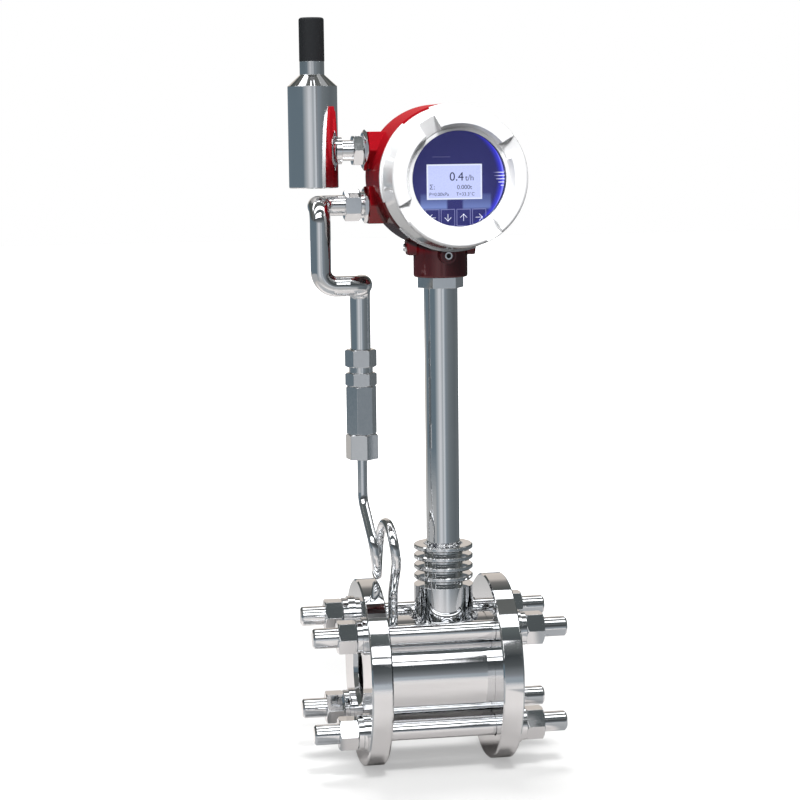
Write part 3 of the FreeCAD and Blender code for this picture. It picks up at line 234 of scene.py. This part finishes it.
# Round the object at the level of the eye, from behind past the left side and the front to the right.
around = studio.add("ShaderNodeValToRGB", {"stops": [
    (0.0, (0.148, 0.195, 0.231)), (0.345, (0.148, 0.195, 0.231)), (0.374, (0.34, 0.38, 0.41)),
    (0.405, (0.50, 0.52, 0.54)), (0.432, (0.72, 0.735, 0.765)), (0.460, (0.655, 0.67, 0.70)),
    (0.478, (0.46, 0.49, 0.515)), (0.491, (0.43, 0.45, 0.48)), (0.506, (0.70, 0.735, 0.77)),
    (0.518, (0.63, 0.665, 0.71)), (0.531, (0.395, 0.44, 0.48)), (0.549, (0.235, 0.272, 0.305)),
    (0.575, (0.222, 0.253, 0.28)), (0.612, (0.18, 0.203, 0.218)), (0.668, (0.155, 0.177, 0.191)),
    (0.735, (0.133, 0.152, 0.165)), (0.83, (0.152, 0.169, 0.18)), (1.0, (0.14, 0.16, 0.175))]},
    {0: (turn + 180) / 360}).out("Color")

# Light from behind at the left, and the ground where it shows at the left and in front.
behind = (1 - turn.ease(-150, -128)) * (1 - height.ease(-6.5, -4.0))
around = studio.blend(behind, around, BACK_LIGHT)
ground_left = (1 - height.ease(-10.6, -8.6)) * (1 - turn.ease(-60, -45)) * 0.85
ground_front = (1 - height.ease(-17, -11)) * turn.between(-45, 45, 8)
around = studio.blend((ground_left + ground_front).math("MINIMUM", 1), around, GROUND_GREY)

# What is round the object ends a little over the horizon, and lower in one gap at the right of the front.
level_height = height + turn.between(7.5, 16, 0.8) * 4.7
reflected = studio.blend(level_height.between(-30, 2.5, 2.0), over, around)

# The camera sees the plain backdrop, and matt surfaces are lit by a share of the studio, less from below.
seen = studio.add("ShaderNodeLightPath")
shown = studio.blend(seen.out("Is Camera Ray"), reflected, BACKDROP)
diffuse_share = DIFFUSE_BELOW + height.ease(-20, 30) * (DIFFUSE_ABOVE - DIFFUSE_BELOW)
strength = 1 - seen.out("Is Diffuse Ray") * (1 - diffuse_share)
studio.add("ShaderNodeOutputWorld", None, {
    "Surface": studio.add("ShaderNodeBackground", None, {"Color": shown, "Strength": strength}).out()})

# The floor, matt and pale. In the steel's reflections it is darker beside the meter and open far from it.
FLOOR_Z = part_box("inlet_flange")[0].z
FLOOR_REACH = 8.0
NEAR_FLOOR = (0.25, 0.75)
MATT_FLOOR = (0.31, 0.31, 0.307)
MIRRORED_FLOOR = (0.42, 0.40, 0.39)
MIRRORED_BESIDE = (0.20, 0.205, 0.21)
FLOOR_GLOW = 0.38
FAR_GLOW = (0.3, 1.0)
UNDER_METER = (-0.020, 0.158)
BESIDE_METER = (-0.32, 0.05)
floor = bpy.data.objects.new("floor", bpy.data.meshes.new("floor"))
corners = [(-FLOOR_REACH, -FLOOR_REACH), (FLOOR_REACH, -FLOOR_REACH), (FLOOR_REACH, FLOOR_REACH),
           (-FLOOR_REACH, FLOOR_REACH)]
floor.data.from_pydata([(x, y, FLOOR_Z) for x, y in corners], [], [(0, 1, 2, 3)])
bpy.context.scene.collection.objects.link(floor)
floor_material = bpy.data.materials.new("pale_floor")
floor.data.materials.append(floor_material)
floor_tree = Tree(floor_material)
floor_place = floor_tree.add("ShaderNodeTexCoord").out("Object")
reach = floor_tree.add("ShaderNodeVectorMath", {"operation": "LENGTH"}, {0: floor_place}).out("Value")
mirrored = floor_tree.add("ShaderNodeLightPath").out("Is Glossy Ray")
floor_parts = floor_tree.add("ShaderNodeSeparateXYZ", None, {0: floor_place})
under_meter = floor_parts.out("X").between(*UNDER_METER, 0.004)
beside = (1 - under_meter) * floor_parts.out("Y").between(*BESIDE_METER, 0.02)
mirrored_floor = floor_tree.blend(beside, MIRRORED_FLOOR, MIRRORED_BESIDE)
matt = floor_tree.add("ShaderNodeBsdfDiffuse", None, {
    "Color": floor_tree.blend(mirrored, MATT_FLOOR, mirrored_floor)}).out()
lift = floor_tree.add("ShaderNodeEmission", None, {
    "Color": (1, 1, 1, 1), "Strength": (1 - mirrored) * (FLOOR_GLOW + reach.ease(*FAR_GLOW))}).out()
lit_floor = floor_tree.add("ShaderNodeAddShader", None, {0: matt, 1: lift}).out()
open_floor = floor_tree.add("ShaderNodeBsdfTransparent").out()
floor_tree.add("ShaderNodeOutputMaterial", None, {"Surface": floor_tree.add("ShaderNodeMixShader", None, {
    0: mirrored * reach.ease(*NEAR_FLOOR), 1: lit_floor, 2: open_floor}).out()})
floor.visible_diffuse = False


def soft_light(name, place, aim, size, power):
    """A round soft light that shines from its place towards its aim and isn't mirrored in the steel."""
    light = bpy.data.objects.new(name, bpy.data.lights.new(name, "AREA"))
    light.data.shape = "DISK"
    light.data.size = size
    light.data.energy = power
    light.location = place
    light.rotation_mode = "QUATERNION"
    light.rotation_quaternion = (Vector(aim) - Vector(place)).to_track_quat("-Z", "Y")
    light.visible_glossy = False
    bpy.context.scene.collection.objects.link(light)


soft_light("key_light", place=(0.15, -1.27, 2.02), aim=(0.05, 0, 0.35), size=0.5, power=57)
soft_light("top_light", place=(-0.05, 1.10, 2.35), aim=(0.05, 0, 0), size=1.35, power=92)
soft_light("side_light", place=(-1.35, -0.95, 0.95), aim=(0.05, 0, 0.38), size=0.9, power=12)


# Polished stainless steel: the barrel, flanges, studs and nuts, stem, conduit, siphon and radio module.
# The pieces are turned and buffed on a wheel, so they mirror the studio through a faint cloud of wiped
# polish, and the studs and nuts clamp the barrel between the flanges.
def finish_material(name):
    """A new material with its empty tree and the piece's own coordinates."""
    material = bpy.data.materials.new(name)
    tree = Tree(material)
    place = tree.add("ShaderNodeTexCoord").out("Object")
    return material, tree, place


def close_material(tree, inputs):
    """Ends a material with one Principled shader."""
    shader = tree.add("ShaderNodeBsdfPrincipled", None, inputs).out()
    tree.add("ShaderNodeOutputMaterial", None, {"Surface": shader})


def cloud(tree, place, scale, detail=3.0):
    """Soft noise from 0 to 1, in patches of about one over the scale, in metres."""
    return tree.add("ShaderNodeTexNoise", None, {"Vector": place, "Scale": scale, "Detail": detail}).out(0)


def bumps(tree, depth, amount, distance, edge=0.0):
    """A normal bent by a height from 0 to 1 times a distance in metres, with sharp edges broken by a radius."""
    inputs = {"Height": depth, "Strength": amount, "Distance": distance}
    if edge:
        inputs["Normal"] = tree.add("ShaderNodeBevel", {"samples": 3}, {"Radius": edge}).out()
    return tree.add("ShaderNodeBump", None, inputs).out()


def wear(node, material):
    """Puts a material on every slot of a piece that came from the CAD model."""
    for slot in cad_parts[node].material_slots:
        slot.material = material


EDGE_BREAK = 0.0006
polished_steel, tree, place = finish_material("polished_steel")
wiped = cloud(tree, place, 38)
fine = cloud(tree, place, 900)
close_material(tree, {
    "Base Color": tree.blend(wiped, (0.74, 0.755, 0.77), (0.80, 0.805, 0.81)),
    "Metallic": 1.0,
    "Roughness": 0.03 + wiped.ease(0.45, 0.75) * 0.05 + fine * 0.015,
    "Normal": bumps(tree, fine, 0.04, 0.0001, EDGE_BREAK)})
for node in ("meter_body", "inlet_flange", "outlet_flange", "clamp_studs", "flat_washers", "spring_washers",
             "clamp_nuts", "cooling_neck", "stem_tube", "upper_locknut", "upper_gland", "link_tube",
             "link_collar", "module_shell", "module_plug", "lower_locknut", "lower_gland_body",
             "lower_gland_nut", "conduit_tube", "siphon_tube"):
    wear(node, polished_steel)


# Machined stainless steel: the bluff bar, the probe, the hexagon fittings and the ground screw.
# They are turned or milled and left as cut, a little duller than the buffed pieces, and screw together.
machined_steel, tree, place = finish_material("machined_steel")
grain = cloud(tree, place, 500, 5.0)
close_material(tree, {
    "Base Color": tree.blend(grain, (0.66, 0.67, 0.68), (0.74, 0.75, 0.76)),
    "Metallic": 1.0,
    "Roughness": 0.10 + grain * 0.10,
    "Normal": bumps(tree, grain, 0.06, 0.0001, EDGE_BREAK)})
for node in ("shedder_bar", "vortex_sensor", "stem_lock_nut", "ground_screw", "window_ring",
             "conduit_nut", "sensor_adapter", "sensor_body", "union_nut"):
    wear(node, machined_steel)


# The locking screw in the boss of the neck: a plated steel socket screw that holds the head on the stem.
# Its head is turned bright, and the socket in it is painted black inside as painted shade.
screw_low, screw_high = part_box("neck_lock_screw")
SOCKET_RADIUS = 0.0019
SOCKET_EDGE = 0.0002
SOCKET_SHADE = (0.015, 0.015, 0.016)
screw_steel, tree, place = finish_material("screw_steel")
split = tree.add("ShaderNodeSeparateXYZ", None, {0: place})
aside = split.out("X") - (screw_low.x + screw_high.x) / 2
above = split.out("Z") - (screw_low.z + screw_high.z) / 2
from_middle = (aside * aside + above * above).math("SQRT")
# Painted shade: the socket is painted black, dull and not metallic.
socket = 1 - from_middle.ease(SOCKET_RADIUS - SOCKET_EDGE, SOCKET_RADIUS + SOCKET_EDGE)
turning = cloud(tree, place, 900)
plating = tree.blend(turning, (0.66, 0.67, 0.68), (0.76, 0.77, 0.78))
close_material(tree, {
    "Base Color": tree.blend(socket, plating, SOCKET_SHADE),
    "Metallic": 1 - socket,
    "Roughness": 0.16 + socket * 0.4 + turning * 0.08,
    "Normal": bumps(tree, turning, 0.06, 0.0001)})
wear("neck_lock_screw", screw_steel)


# The welds round the collar's foot and round the tube on the top fin: hand-laid fillets of stainless wire,
# left bright and rippled. Their surface runs from the upright wall out onto the ground in a hollow quarter.
neck_low, neck_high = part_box("cooling_neck")
body_low, body_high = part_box("meter_body")
tube_low, tube_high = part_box("stem_tube")
COLLAR_RADIUS = (neck_high.y - neck_low.y) / 2 - 0.0002
TUBE_RADIUS = (tube_high.x - tube_low.x) / 2 - 0.0001
BARREL_RADIUS = (body_high.y - body_low.y) / 2
COLLAR_LEG = 0.0042
TUBE_LEG = 0.0026
WELD_LIFT = 0.00002


def fillet_weld(name, centre_x, radius, leg, ripples, ground):
    """A weld round an upright tube.

    The point at angle t and share s lies at a distance of radius + leg * (1 - cos s) from the tube's axis,
    and leg * (1 - sin s) above the ground there, with s from 0 to a quarter turn. Two sine waves along t
    swell and thin the leg where it is fullest. The ground gives the height under the weld from y.
    """
    angle = np.linspace(0, 2 * np.pi, 361)[:-1]
    share = np.linspace(0, np.pi / 2, 13)
    angle, share = np.meshgrid(angle, share, indexing="ij")
    wave = 1 + np.sin(2 * share) * (0.16 * np.sin(ripples * angle + 2.2 * np.sin(3 * angle))
                                    + 0.12 * np.sin(23 * angle + 5 * share + 3 * np.sin(2 * angle)))
    reach = radius + leg * wave * (1 - np.cos(share))
    x = centre_x + reach * np.cos(angle)
    y = reach * np.sin(angle)
    z = ground(y) + leg * wave * (1 - np.sin(share)) + WELD_LIFT
    points = np.stack([x, y, z], axis=2)
    rows, columns = angle.shape
    index = np.arange(rows * columns).reshape(rows, columns)
    following = np.roll(index, -1, axis=0)
    quads = np.stack([index[:, :-1], following[:, :-1], following[:, 1:], index[:, 1:]], axis=2).reshape(-1, 4)
    mesh = bpy.data.meshes.new(name)
    mesh.from_pydata(points.reshape(-1, 3).tolist(), [], quads.tolist())
    mesh.shade_smooth()
    piece = bpy.data.objects.new(name, mesh)
    bpy.context.scene.collection.objects.link(piece)
    return piece


weld_steel, tree, place = finish_material("weld_steel")
lumps_and_glints = cloud(tree, place, 420, 3.0)
# Painted reflection: the colour is mottled in small patches from near black to bright, for the broken
# reflections of the rippled bead. The same noise also makes the real lumps in the bump.
close_material(tree, {
    "Base Color": tree.blend(lumps_and_glints.ease(0.42, 0.58), (0.16, 0.17, 0.19), (0.90, 0.91, 0.92)),
    "Metallic": 1.0,
    "Roughness": 0.03 + lumps_and_glints * 0.04,
    "Normal": bumps(tree, lumps_and_glints, 1.0, 0.0050)})
stem_x = (tube_low.x + tube_high.x) / 2
collar_weld = fillet_weld("collar_weld", stem_x, COLLAR_RADIUS, COLLAR_LEG, ripples=62,
                          ground=lambda y: np.sqrt(BARREL_RADIUS ** 2 - y ** 2))
tube_weld = fillet_weld("tube_weld", stem_x, TUBE_RADIUS, TUBE_LEG, ripples=46,
                        ground=lambda y: neck_high.z + y * 0)
for piece in (collar_weld, tube_weld):
    piece.data.materials.append(weld_steel)
    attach(piece, "meter")


# The red head and its rear cover: cast aluminium, sprayed with a glossy red enamel over the cast skin.
# Under the barrel and on the neck the paint is darker and browner as painted shade, and the clear coat is
# stronger over the lower half.
HEAD_X = 0.0673
HEAD_Z = 0.397
SHELL_INNER = 0.0505
SHELL_OUTER = 0.0585
ENAMEL_RADIUS = 0.0009
NECK_TOP = (-0.061, -0.056)
SHINE_FADES = (-0.025, 0.02)


def head_coordinates(tree, place):
    """The right and up distances of a point from the head's axis, in metres, as two sockets."""
    split = tree.add("ShaderNodeSeparateXYZ", None, {0: place})
    return split.out("X") - HEAD_X, split.out("Z") - HEAD_Z


head_red, tree, place = finish_material("head_red")
across, upward = head_coordinates(tree, place)
from_axis = (across * across + upward * upward).math("SQRT")
on_shell = from_axis.between(SHELL_INNER, SHELL_OUTER, 0.001)
# Painted shade: the underside of the shell and the neck are painted darker and browner.
underside_shade = on_shell * (1 - (upward / from_axis).ease(-0.75, 0.0))
neck = 1 - upward.ease(*NECK_TOP)
lower_half = 1 - upward.ease(*SHINE_FADES)
paint = tree.blend(cloud(tree, place, 30), (0.25, 0.0045, 0.009), (0.29, 0.006, 0.011))
paint = tree.blend(neck, paint, (0.135, 0.024, 0.028))
paint = tree.blend(underside_shade, paint, (0.045, 0.012, 0.014))
skin = cloud(tree, place, 420)
close_material(tree, {
    "Base Color": paint,
    "Metallic": 0.34,
    "Roughness": 0.18 + skin * 0.05,
    "Specular Tint": (0.30, 0.03, 0.04, 1),
    "IOR": 1.0,
    "Coat Weight": 0.03 + lower_half * 0.30,
    "Coat IOR": 2.0,
    "Coat Roughness": 0.03,
    "Normal": bumps(tree, skin, 0.10, 0.0002, ENAMEL_RADIUS)})
for node in ("head_housing", "rear_cover"):
    wear(node, head_red)


# The white front cover: cast aluminium, turned, with the dish and the four ramps cast in. It is sprayed
# glossy white and screws onto the head over its seal.
cover_white, tree, place = finish_material("cover_white")
skin = cloud(tree, place, 420)
close_material(tree, {
    "Base Color": tree.blend(cloud(tree, place, 30), (0.86, 0.865, 0.875), (0.90, 0.903, 0.91)),
    "Roughness": 0.10 + skin * 0.05,
    "Coat Weight": 1.0,
    "Coat Roughness": 0.02,
    "Normal": bumps(tree, skin, 0.05, 0.0002, ENAMEL_RADIUS)})
wear("front_cover", cover_white)


# The window: a round of clear toughened glass, held behind the cover's dish by its ring and seen as a
# gloss over the display.
window_glass, tree, place = finish_material("window_glass")
gloss = tree.add("ShaderNodeBsdfGlossy", None, {"Color": (1, 1, 1, 1), "Roughness": 0.02}).out()
clear = tree.add("ShaderNodeBsdfTransparent", None, {"Color": (0.96, 0.97, 1.0, 1)}).out()
mirror_share = tree.add("ShaderNodeFresnel", None, {"IOR": 1.18}).out()
pane = tree.add("ShaderNodeMixShader", None, {0: mirror_share, 1: clear, 2: gloss}).out()
tree.add("ShaderNodeOutputMaterial", None, {"Surface": pane})
wear("front_window", window_glass)


# The display: a round plate printed dark blue, with a lit liquid crystal screen set into it. The plate's colour
# is
# painted light: it glows dim blue, with a crescent of painted blue glow along the right of its edge and a paler
# band under the screen that is a painted reflection of the glass. Plate and screen sit on the pillars behind
# the glass.
RING_SHIFT = -0.006
RING_FROM = 0.0385
RING_FULL = 0.0447
RING_LEFT_END = (0.004, 0.022)
REFLECTION_BAND_LOW = -0.0233
REFLECTION_BAND_HIGH = -0.0123
REFLECTION_BAND_LEFT = (-0.0264, -0.0059)
REFLECTION_BAND_RIGHT = (0.0063, 0.0282)
SCREEN_SIDE = 0.0201
SCREEN_TOP = 0.0121
SCREEN_DROP = 0.0028
SCREEN_RIM = 0.0004

plate_blue, tree, place = finish_material("plate_blue")
across, upward = head_coordinates(tree, place)
from_ring = across - RING_SHIFT
ring_distance = (from_ring * from_ring + upward * upward).math("SQRT")
# Painted glow: a bright blue crescent along the right of the plate's edge.
glow = ring_distance.ease(RING_FROM, RING_FULL) * across.ease(*RING_LEFT_END)
# Painted reflection of the glass: a paler blue band under the screen, strongest towards its bottom.
reflection_band = across.between(*REFLECTION_BAND_LEFT, 0.001) + across.between(*REFLECTION_BAND_RIGHT, 0.001)
reflection_band = reflection_band * upward.between(REFLECTION_BAND_LOW, REFLECTION_BAND_HIGH, 0.0016)
low_in_reflection_band = 1 - upward.ease(REFLECTION_BAND_LOW - 0.001, REFLECTION_BAND_HIGH - 0.001)
reflection_band_share = 0.26 + low_in_reflection_band * (0.62 - across.ease(0, 0.006) * 0.22)
# Painted light: the whole plate glows dim blue, and the band and the crescent are laid on that glow.
plate_light = tree.blend(cloud(tree, place, 60), (0.020, 0.020, 0.100), (0.026, 0.026, 0.130))
plate_light = tree.blend(reflection_band * reflection_band_share, plate_light, (0.24, 0.33, 0.65))
plate_light = tree.blend(glow, plate_light, (0.060, 0.060, 0.85))
plate_light = tree.blend(glow.ease(0.75, 1.0), plate_light, (0.28, 0.28, 1.0))
close_material(tree, {
    "Base Color": (0.012, 0.012, 0.05, 1),
    "Roughness": 0.30 + cloud(tree, place, 600) * 0.08,
    "Emission Color": plate_light,
    "Emission Strength": 1.0})
wear("display_plate", plate_blue)

screen_lit, tree, place = finish_material("screen_lit")
across, upward = head_coordinates(tree, place)
near_side = across.math("ABSOLUTE").ease(SCREEN_SIDE, SCREEN_SIDE + SCREEN_RIM)
near_top = (upward + SCREEN_DROP).math("ABSOLUTE").ease(SCREEN_TOP, SCREEN_TOP + SCREEN_RIM)
lit = tree.blend(cloud(tree, place, 30), (0.58, 0.63, 0.94), (0.62, 0.67, 0.98))
close_material(tree, {
    "Base Color": (0.05, 0.05, 0.07, 1),
    "Roughness": 0.25 + cloud(tree, place, 800) * 0.05,
    "Emission Color": tree.blend((near_side + near_top).math("MINIMUM", 1), lit, (0.86, 0.89, 1.0)),
    "Emission Strength": 1.0})
wear("display_screen", screen_lit)


# The print on the plate and the screen: outlined touch keys with arrows, a rule, five short bars and the
# readout. It is a thin layer of paint on the plate, and of dark crystal segments on the screen.
PRINT_LIFT = 0.00012
PLATE_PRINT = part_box("display_plate")[0].y - PRINT_LIFT
SCREEN_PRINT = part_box("display_screen")[0].y - PRINT_LIFT
KEY_WIDTH = 0.0104
KEY_HEIGHT = 0.0125
KEY_PITCH = 0.01215
KEY_MIDDLE = -0.0299
KEY_LINE = 0.0005
ARROW_SIZE = 0.0026
ARROW_LINE = 0.0003375
BAR_END = 0.0390
BAR_TOP = 0.0039
BAR_PITCH = 0.00247
BAR_LINE = 0.0007
RULE_LINE = 0.0004
STROKE_SWELL = 0.001


def flat_piece(name, corners, faces, front):
    """A flat piece that faces the viewer. Its corners are right and up distances from the head's axis."""
    corners = np.asarray(corners, dtype=float)
    points = np.column_stack([HEAD_X + corners[:, 0], np.full(len(corners), front), HEAD_Z + corners[:, 1]])
    mesh = bpy.data.meshes.new(name)
    mesh.from_pydata(points.tolist(), [], [tuple(int(i) for i in face) for face in faces])
    piece = bpy.data.objects.new(name, mesh)
    bpy.context.scene.collection.objects.link(piece)
    return piece


def strokes(name, runs, width, front):
    """Straight strokes, each a rectangle round its run, reaching half a width past both ends."""
    runs = np.asarray(runs, dtype=float)
    begin, finish = runs[:, 0], runs[:, 1]
    along = (finish - begin) / np.linalg.norm(finish - begin, axis=1, keepdims=True) * width / 2
    aside = np.column_stack([-along[:, 1], along[:, 0]])
    quads = np.stack([begin - along - aside, finish + along - aside,
                      finish + along + aside, begin - along + aside], axis=1)
    faces = np.arange(len(runs) * 4).reshape(-1, 4)
    return flat_piece(name, quads.reshape(-1, 2), faces, front)


def finish_print(piece, material):
    """Gives a printed piece its material and its body."""
    piece.data.materials.append(material)
    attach(piece, "meter")


def print_material(name, dull, bright):
    """Paint that glows a little as painted light, a bit uneven from its screen printing."""
    material, tree, place = finish_material(name)
    tone = tree.blend(cloud(tree, place, 900), dull, bright)
    close_material(tree, {
        "Base Color": tone, "Roughness": 0.5, "Emission Color": tone, "Emission Strength": 0.8})
    return material


key_middles = np.array([-1.44, -0.44, 0.56, 1.56]) * KEY_PITCH
key_places = np.stack([key_middles, np.full(4, KEY_MIDDLE)], axis=1)
key_corners = np.array([(-1, -1), (1, -1), (1, 1), (-1, 1)]) * (KEY_WIDTH / 2, KEY_HEIGHT / 2)
key_sides = np.stack([key_corners, np.roll(key_corners, -1, axis=0)], axis=1)
key_runs = (key_sides[None] + key_places[:, None, None]).reshape(-1, 2, 2)
key_frames = strokes("key_frames", key_runs, KEY_LINE, PLATE_PRINT)
finish_print(key_frames, print_material("key_line", (0.13, 0.13, 0.26), (0.18, 0.18, 0.32)))

# The arrow that points down, turned to point left, down, up and right on the four keys.
arrow_runs = np.array([[(0, 1), (0, -1)], [(0, -1), (-0.95, 0)], [(0, -1), (0.95, 0)]]) * ARROW_SIZE
arrow_turns = ((0, -1), (1, 0), (-1, 0), (0, 1))
turned_arrows = [arrow_runs @ np.array([[cosine, sine], [-sine, cosine]]) + key_place
                 for key_place, (cosine, sine) in zip(key_places, arrow_turns)]
key_arrows = strokes("key_arrows", np.concatenate(turned_arrows), ARROW_LINE, PLATE_PRINT)
finish_print(key_arrows, print_material("arrow_white", (0.70, 0.70, 0.75), (0.85, 0.85, 0.90)))

bar_starts = np.array([0.0301, 0.0311, 0.0326, 0.0344, 0.0363])
bar_heights = BAR_TOP - np.arange(5) * BAR_PITCH
bar_left_ends = np.column_stack([bar_starts, bar_heights])
bar_right_ends = np.column_stack([np.full(5, BAR_END), bar_heights])
side_bars = strokes("side_bars", np.stack([bar_left_ends, bar_right_ends], axis=1), BAR_LINE, PLATE_PRINT)
# The bars glow as painted light, dark blue at the left and fading to white near their right ends.
bar_white, tree, place = finish_material("bar_white")
across, upward = head_coordinates(tree, place)
tone = tree.blend(across.ease(0.030, 0.0385), (0.05, 0.05, 0.18), (0.92, 0.92, 1.0))
close_material(tree, {"Base Color": tone, "Roughness": 0.5, "Emission Color": tone, "Emission Strength": 0.9})
finish_print(side_bars, bar_white)

heading_line = strokes("heading_line", [[(-0.0168, 0.0162), (-0.0033, 0.0161)]], RULE_LINE, PLATE_PRINT)
finish_print(heading_line, print_material("rule_grey", (0.10, 0.10, 0.22), (0.14, 0.14, 0.27)))


def readout(name, words, size, left, base):
    """A line of the readout: text made a mesh, its left end and its base line at the given places."""
    curve = bpy.data.curves.new(name, "FONT")
    curve.body = words
    curve.size = size
    curve.offset = size * STROKE_SWELL
    holder = bpy.data.objects.new(name, curve)
    flat = bpy.data.meshes.new_from_object(holder)
    bpy.data.objects.remove(holder)
    corners = np.empty(len(flat.vertices) * 3)
    flat.vertices.foreach_get("co", corners)
    corners = corners.reshape(-1, 3)
    points = np.column_stack([HEAD_X + left + corners[:, 0], np.full(len(corners), SCREEN_PRINT),
                              HEAD_Z + base + corners[:, 1]])
    flat.vertices.foreach_set("co", points.ravel())
    flat.update()
    line = bpy.data.objects.new(name, flat)
    bpy.context.scene.collection.objects.link(line)
    finish_print(line, segment_dark)


segment_dark = print_material("segment_dark", (0.010, 0.012, 0.035), (0.016, 0.019, 0.050))
readout("flow_reading", "0.4", 0.0092, -0.0040, -0.0019)
readout("flow_unit", "t/h", 0.0062, 0.0082, -0.0019)
readout("total_sign", "\u03a3:", 0.0050, -0.0196, -0.0083)
readout("total_reading", "0.000t", 0.0046, 0.0018, -0.0084)
readout("pressure_reading", "P=0.00kPa", 0.0036, -0.0197, -0.0133)
readout("heat_reading", "T=33.3\u00b0C", 0.0036, 0.0012, -0.0134)


# The seals and gaskets: rubber O-rings under the covers, and rings of pressed fibre sheet in the flanges.
# The moulded rubber is smooth and black, and the punched sheet is dark grey with short fibres in it.
seal_rubber, tree, place = finish_material("seal_rubber")
bloom = cloud(tree, place, 700)
close_material(tree, {
    "Base Color": tree.blend(bloom, (0.012, 0.012, 0.013), (0.022, 0.022, 0.023)),
    "Roughness": 0.45 + bloom * 0.2,
    "Normal": bumps(tree, bloom, 0.1, 0.0001)})
for node in ("front_seal", "rear_seal"):
    wear(node, seal_rubber)

gasket_sheet, tree, place = finish_material("gasket_sheet")
drawn_out = tree.add("ShaderNodeVectorMath", {"operation": "MULTIPLY"}, {0: place, 1: (1, 1, 6)}).out()
fibres = cloud(tree, drawn_out, 400, 4.0)
close_material(tree, {
    "Base Color": tree.blend(fibres, (0.10, 0.11, 0.11), (0.22, 0.225, 0.22)),
    "Roughness": 0.75 + fibres * 0.15,
    "Normal": bumps(tree, fibres, 0.3, 0.0002)})
for node in ("inlet_gasket", "outlet_gasket"):
    wear(node, gasket_sheet)


# The electronics: green circuit boards with copper tracks under the lacquer, brass pillars, screws and aerial,
# and the grey moulded terminal strip. They sit in the closed chambers, with the covers screwed on over them.
board_green, tree, place = finish_material("board_green")
tracks = tree.add("ShaderNodeTexBrick", {"offset": 0.5}, {
    "Vector": tree.add("ShaderNodeVectorRotate", {"rotation_type": "X_AXIS"}, {
        "Vector": place, "Angle": math.radians(90)}).out(),
    "Scale": 180.0, "Mortar Size": 0.06, "Mortar Smooth": 0.1}).out("Fac")
close_material(tree, {
    "Base Color": tree.blend(tracks, (0.010, 0.110, 0.045), (0.030, 0.190, 0.070)),
    "Roughness": 0.30 + cloud(tree, place, 900) * 0.1,
    "Normal": bumps(tree, tracks, 0.2, 0.0001)})
for node in ("power_board", "display_board", "radio_board"):
    wear(node, board_green)

brass, tree, place = finish_material("brass")
turning = cloud(tree, place, 800)
close_material(tree, {
    "Base Color": tree.blend(turning, (0.62, 0.44, 0.16), (0.72, 0.53, 0.22)),
    "Metallic": 1.0,
    "Roughness": 0.22 + turning * 0.12,
    "Normal": bumps(tree, turning, 0.08, 0.0001)})
for node in ("display_pillars", "terminal_screws", "aerial"):
    wear(node, brass)

block_plastic, tree, place = finish_material("block_plastic")
grain = cloud(tree, place, 1100)
close_material(tree, {
    "Base Color": tree.blend(grain, (0.16, 0.17, 0.175), (0.21, 0.22, 0.225)),
    "Roughness": 0.5 + grain * 0.1,
    "Normal": bumps(tree, grain, 0.12, 0.0001)})
wear("terminal_block", block_plastic)


# The antenna cap: a closed tube of black moulded nylon with a rounded top, pushed onto the neck of the
# radio module over its aerial.
cap_black, tree, place = finish_material("cap_black")
grain = cloud(tree, place, 1500)
close_material(tree, {
    "Base Color": tree.blend(grain, (0.0135, 0.0145, 0.016), (0.0165, 0.0175, 0.019)),
    "Roughness": 0.42 + grain * 0.06,
    "IOR": 1.25,
    "Normal": bumps(tree, grain, 0.04, 0.0001)})
wear("antenna_cap", cap_black)

bpy.context.view_layer.update()
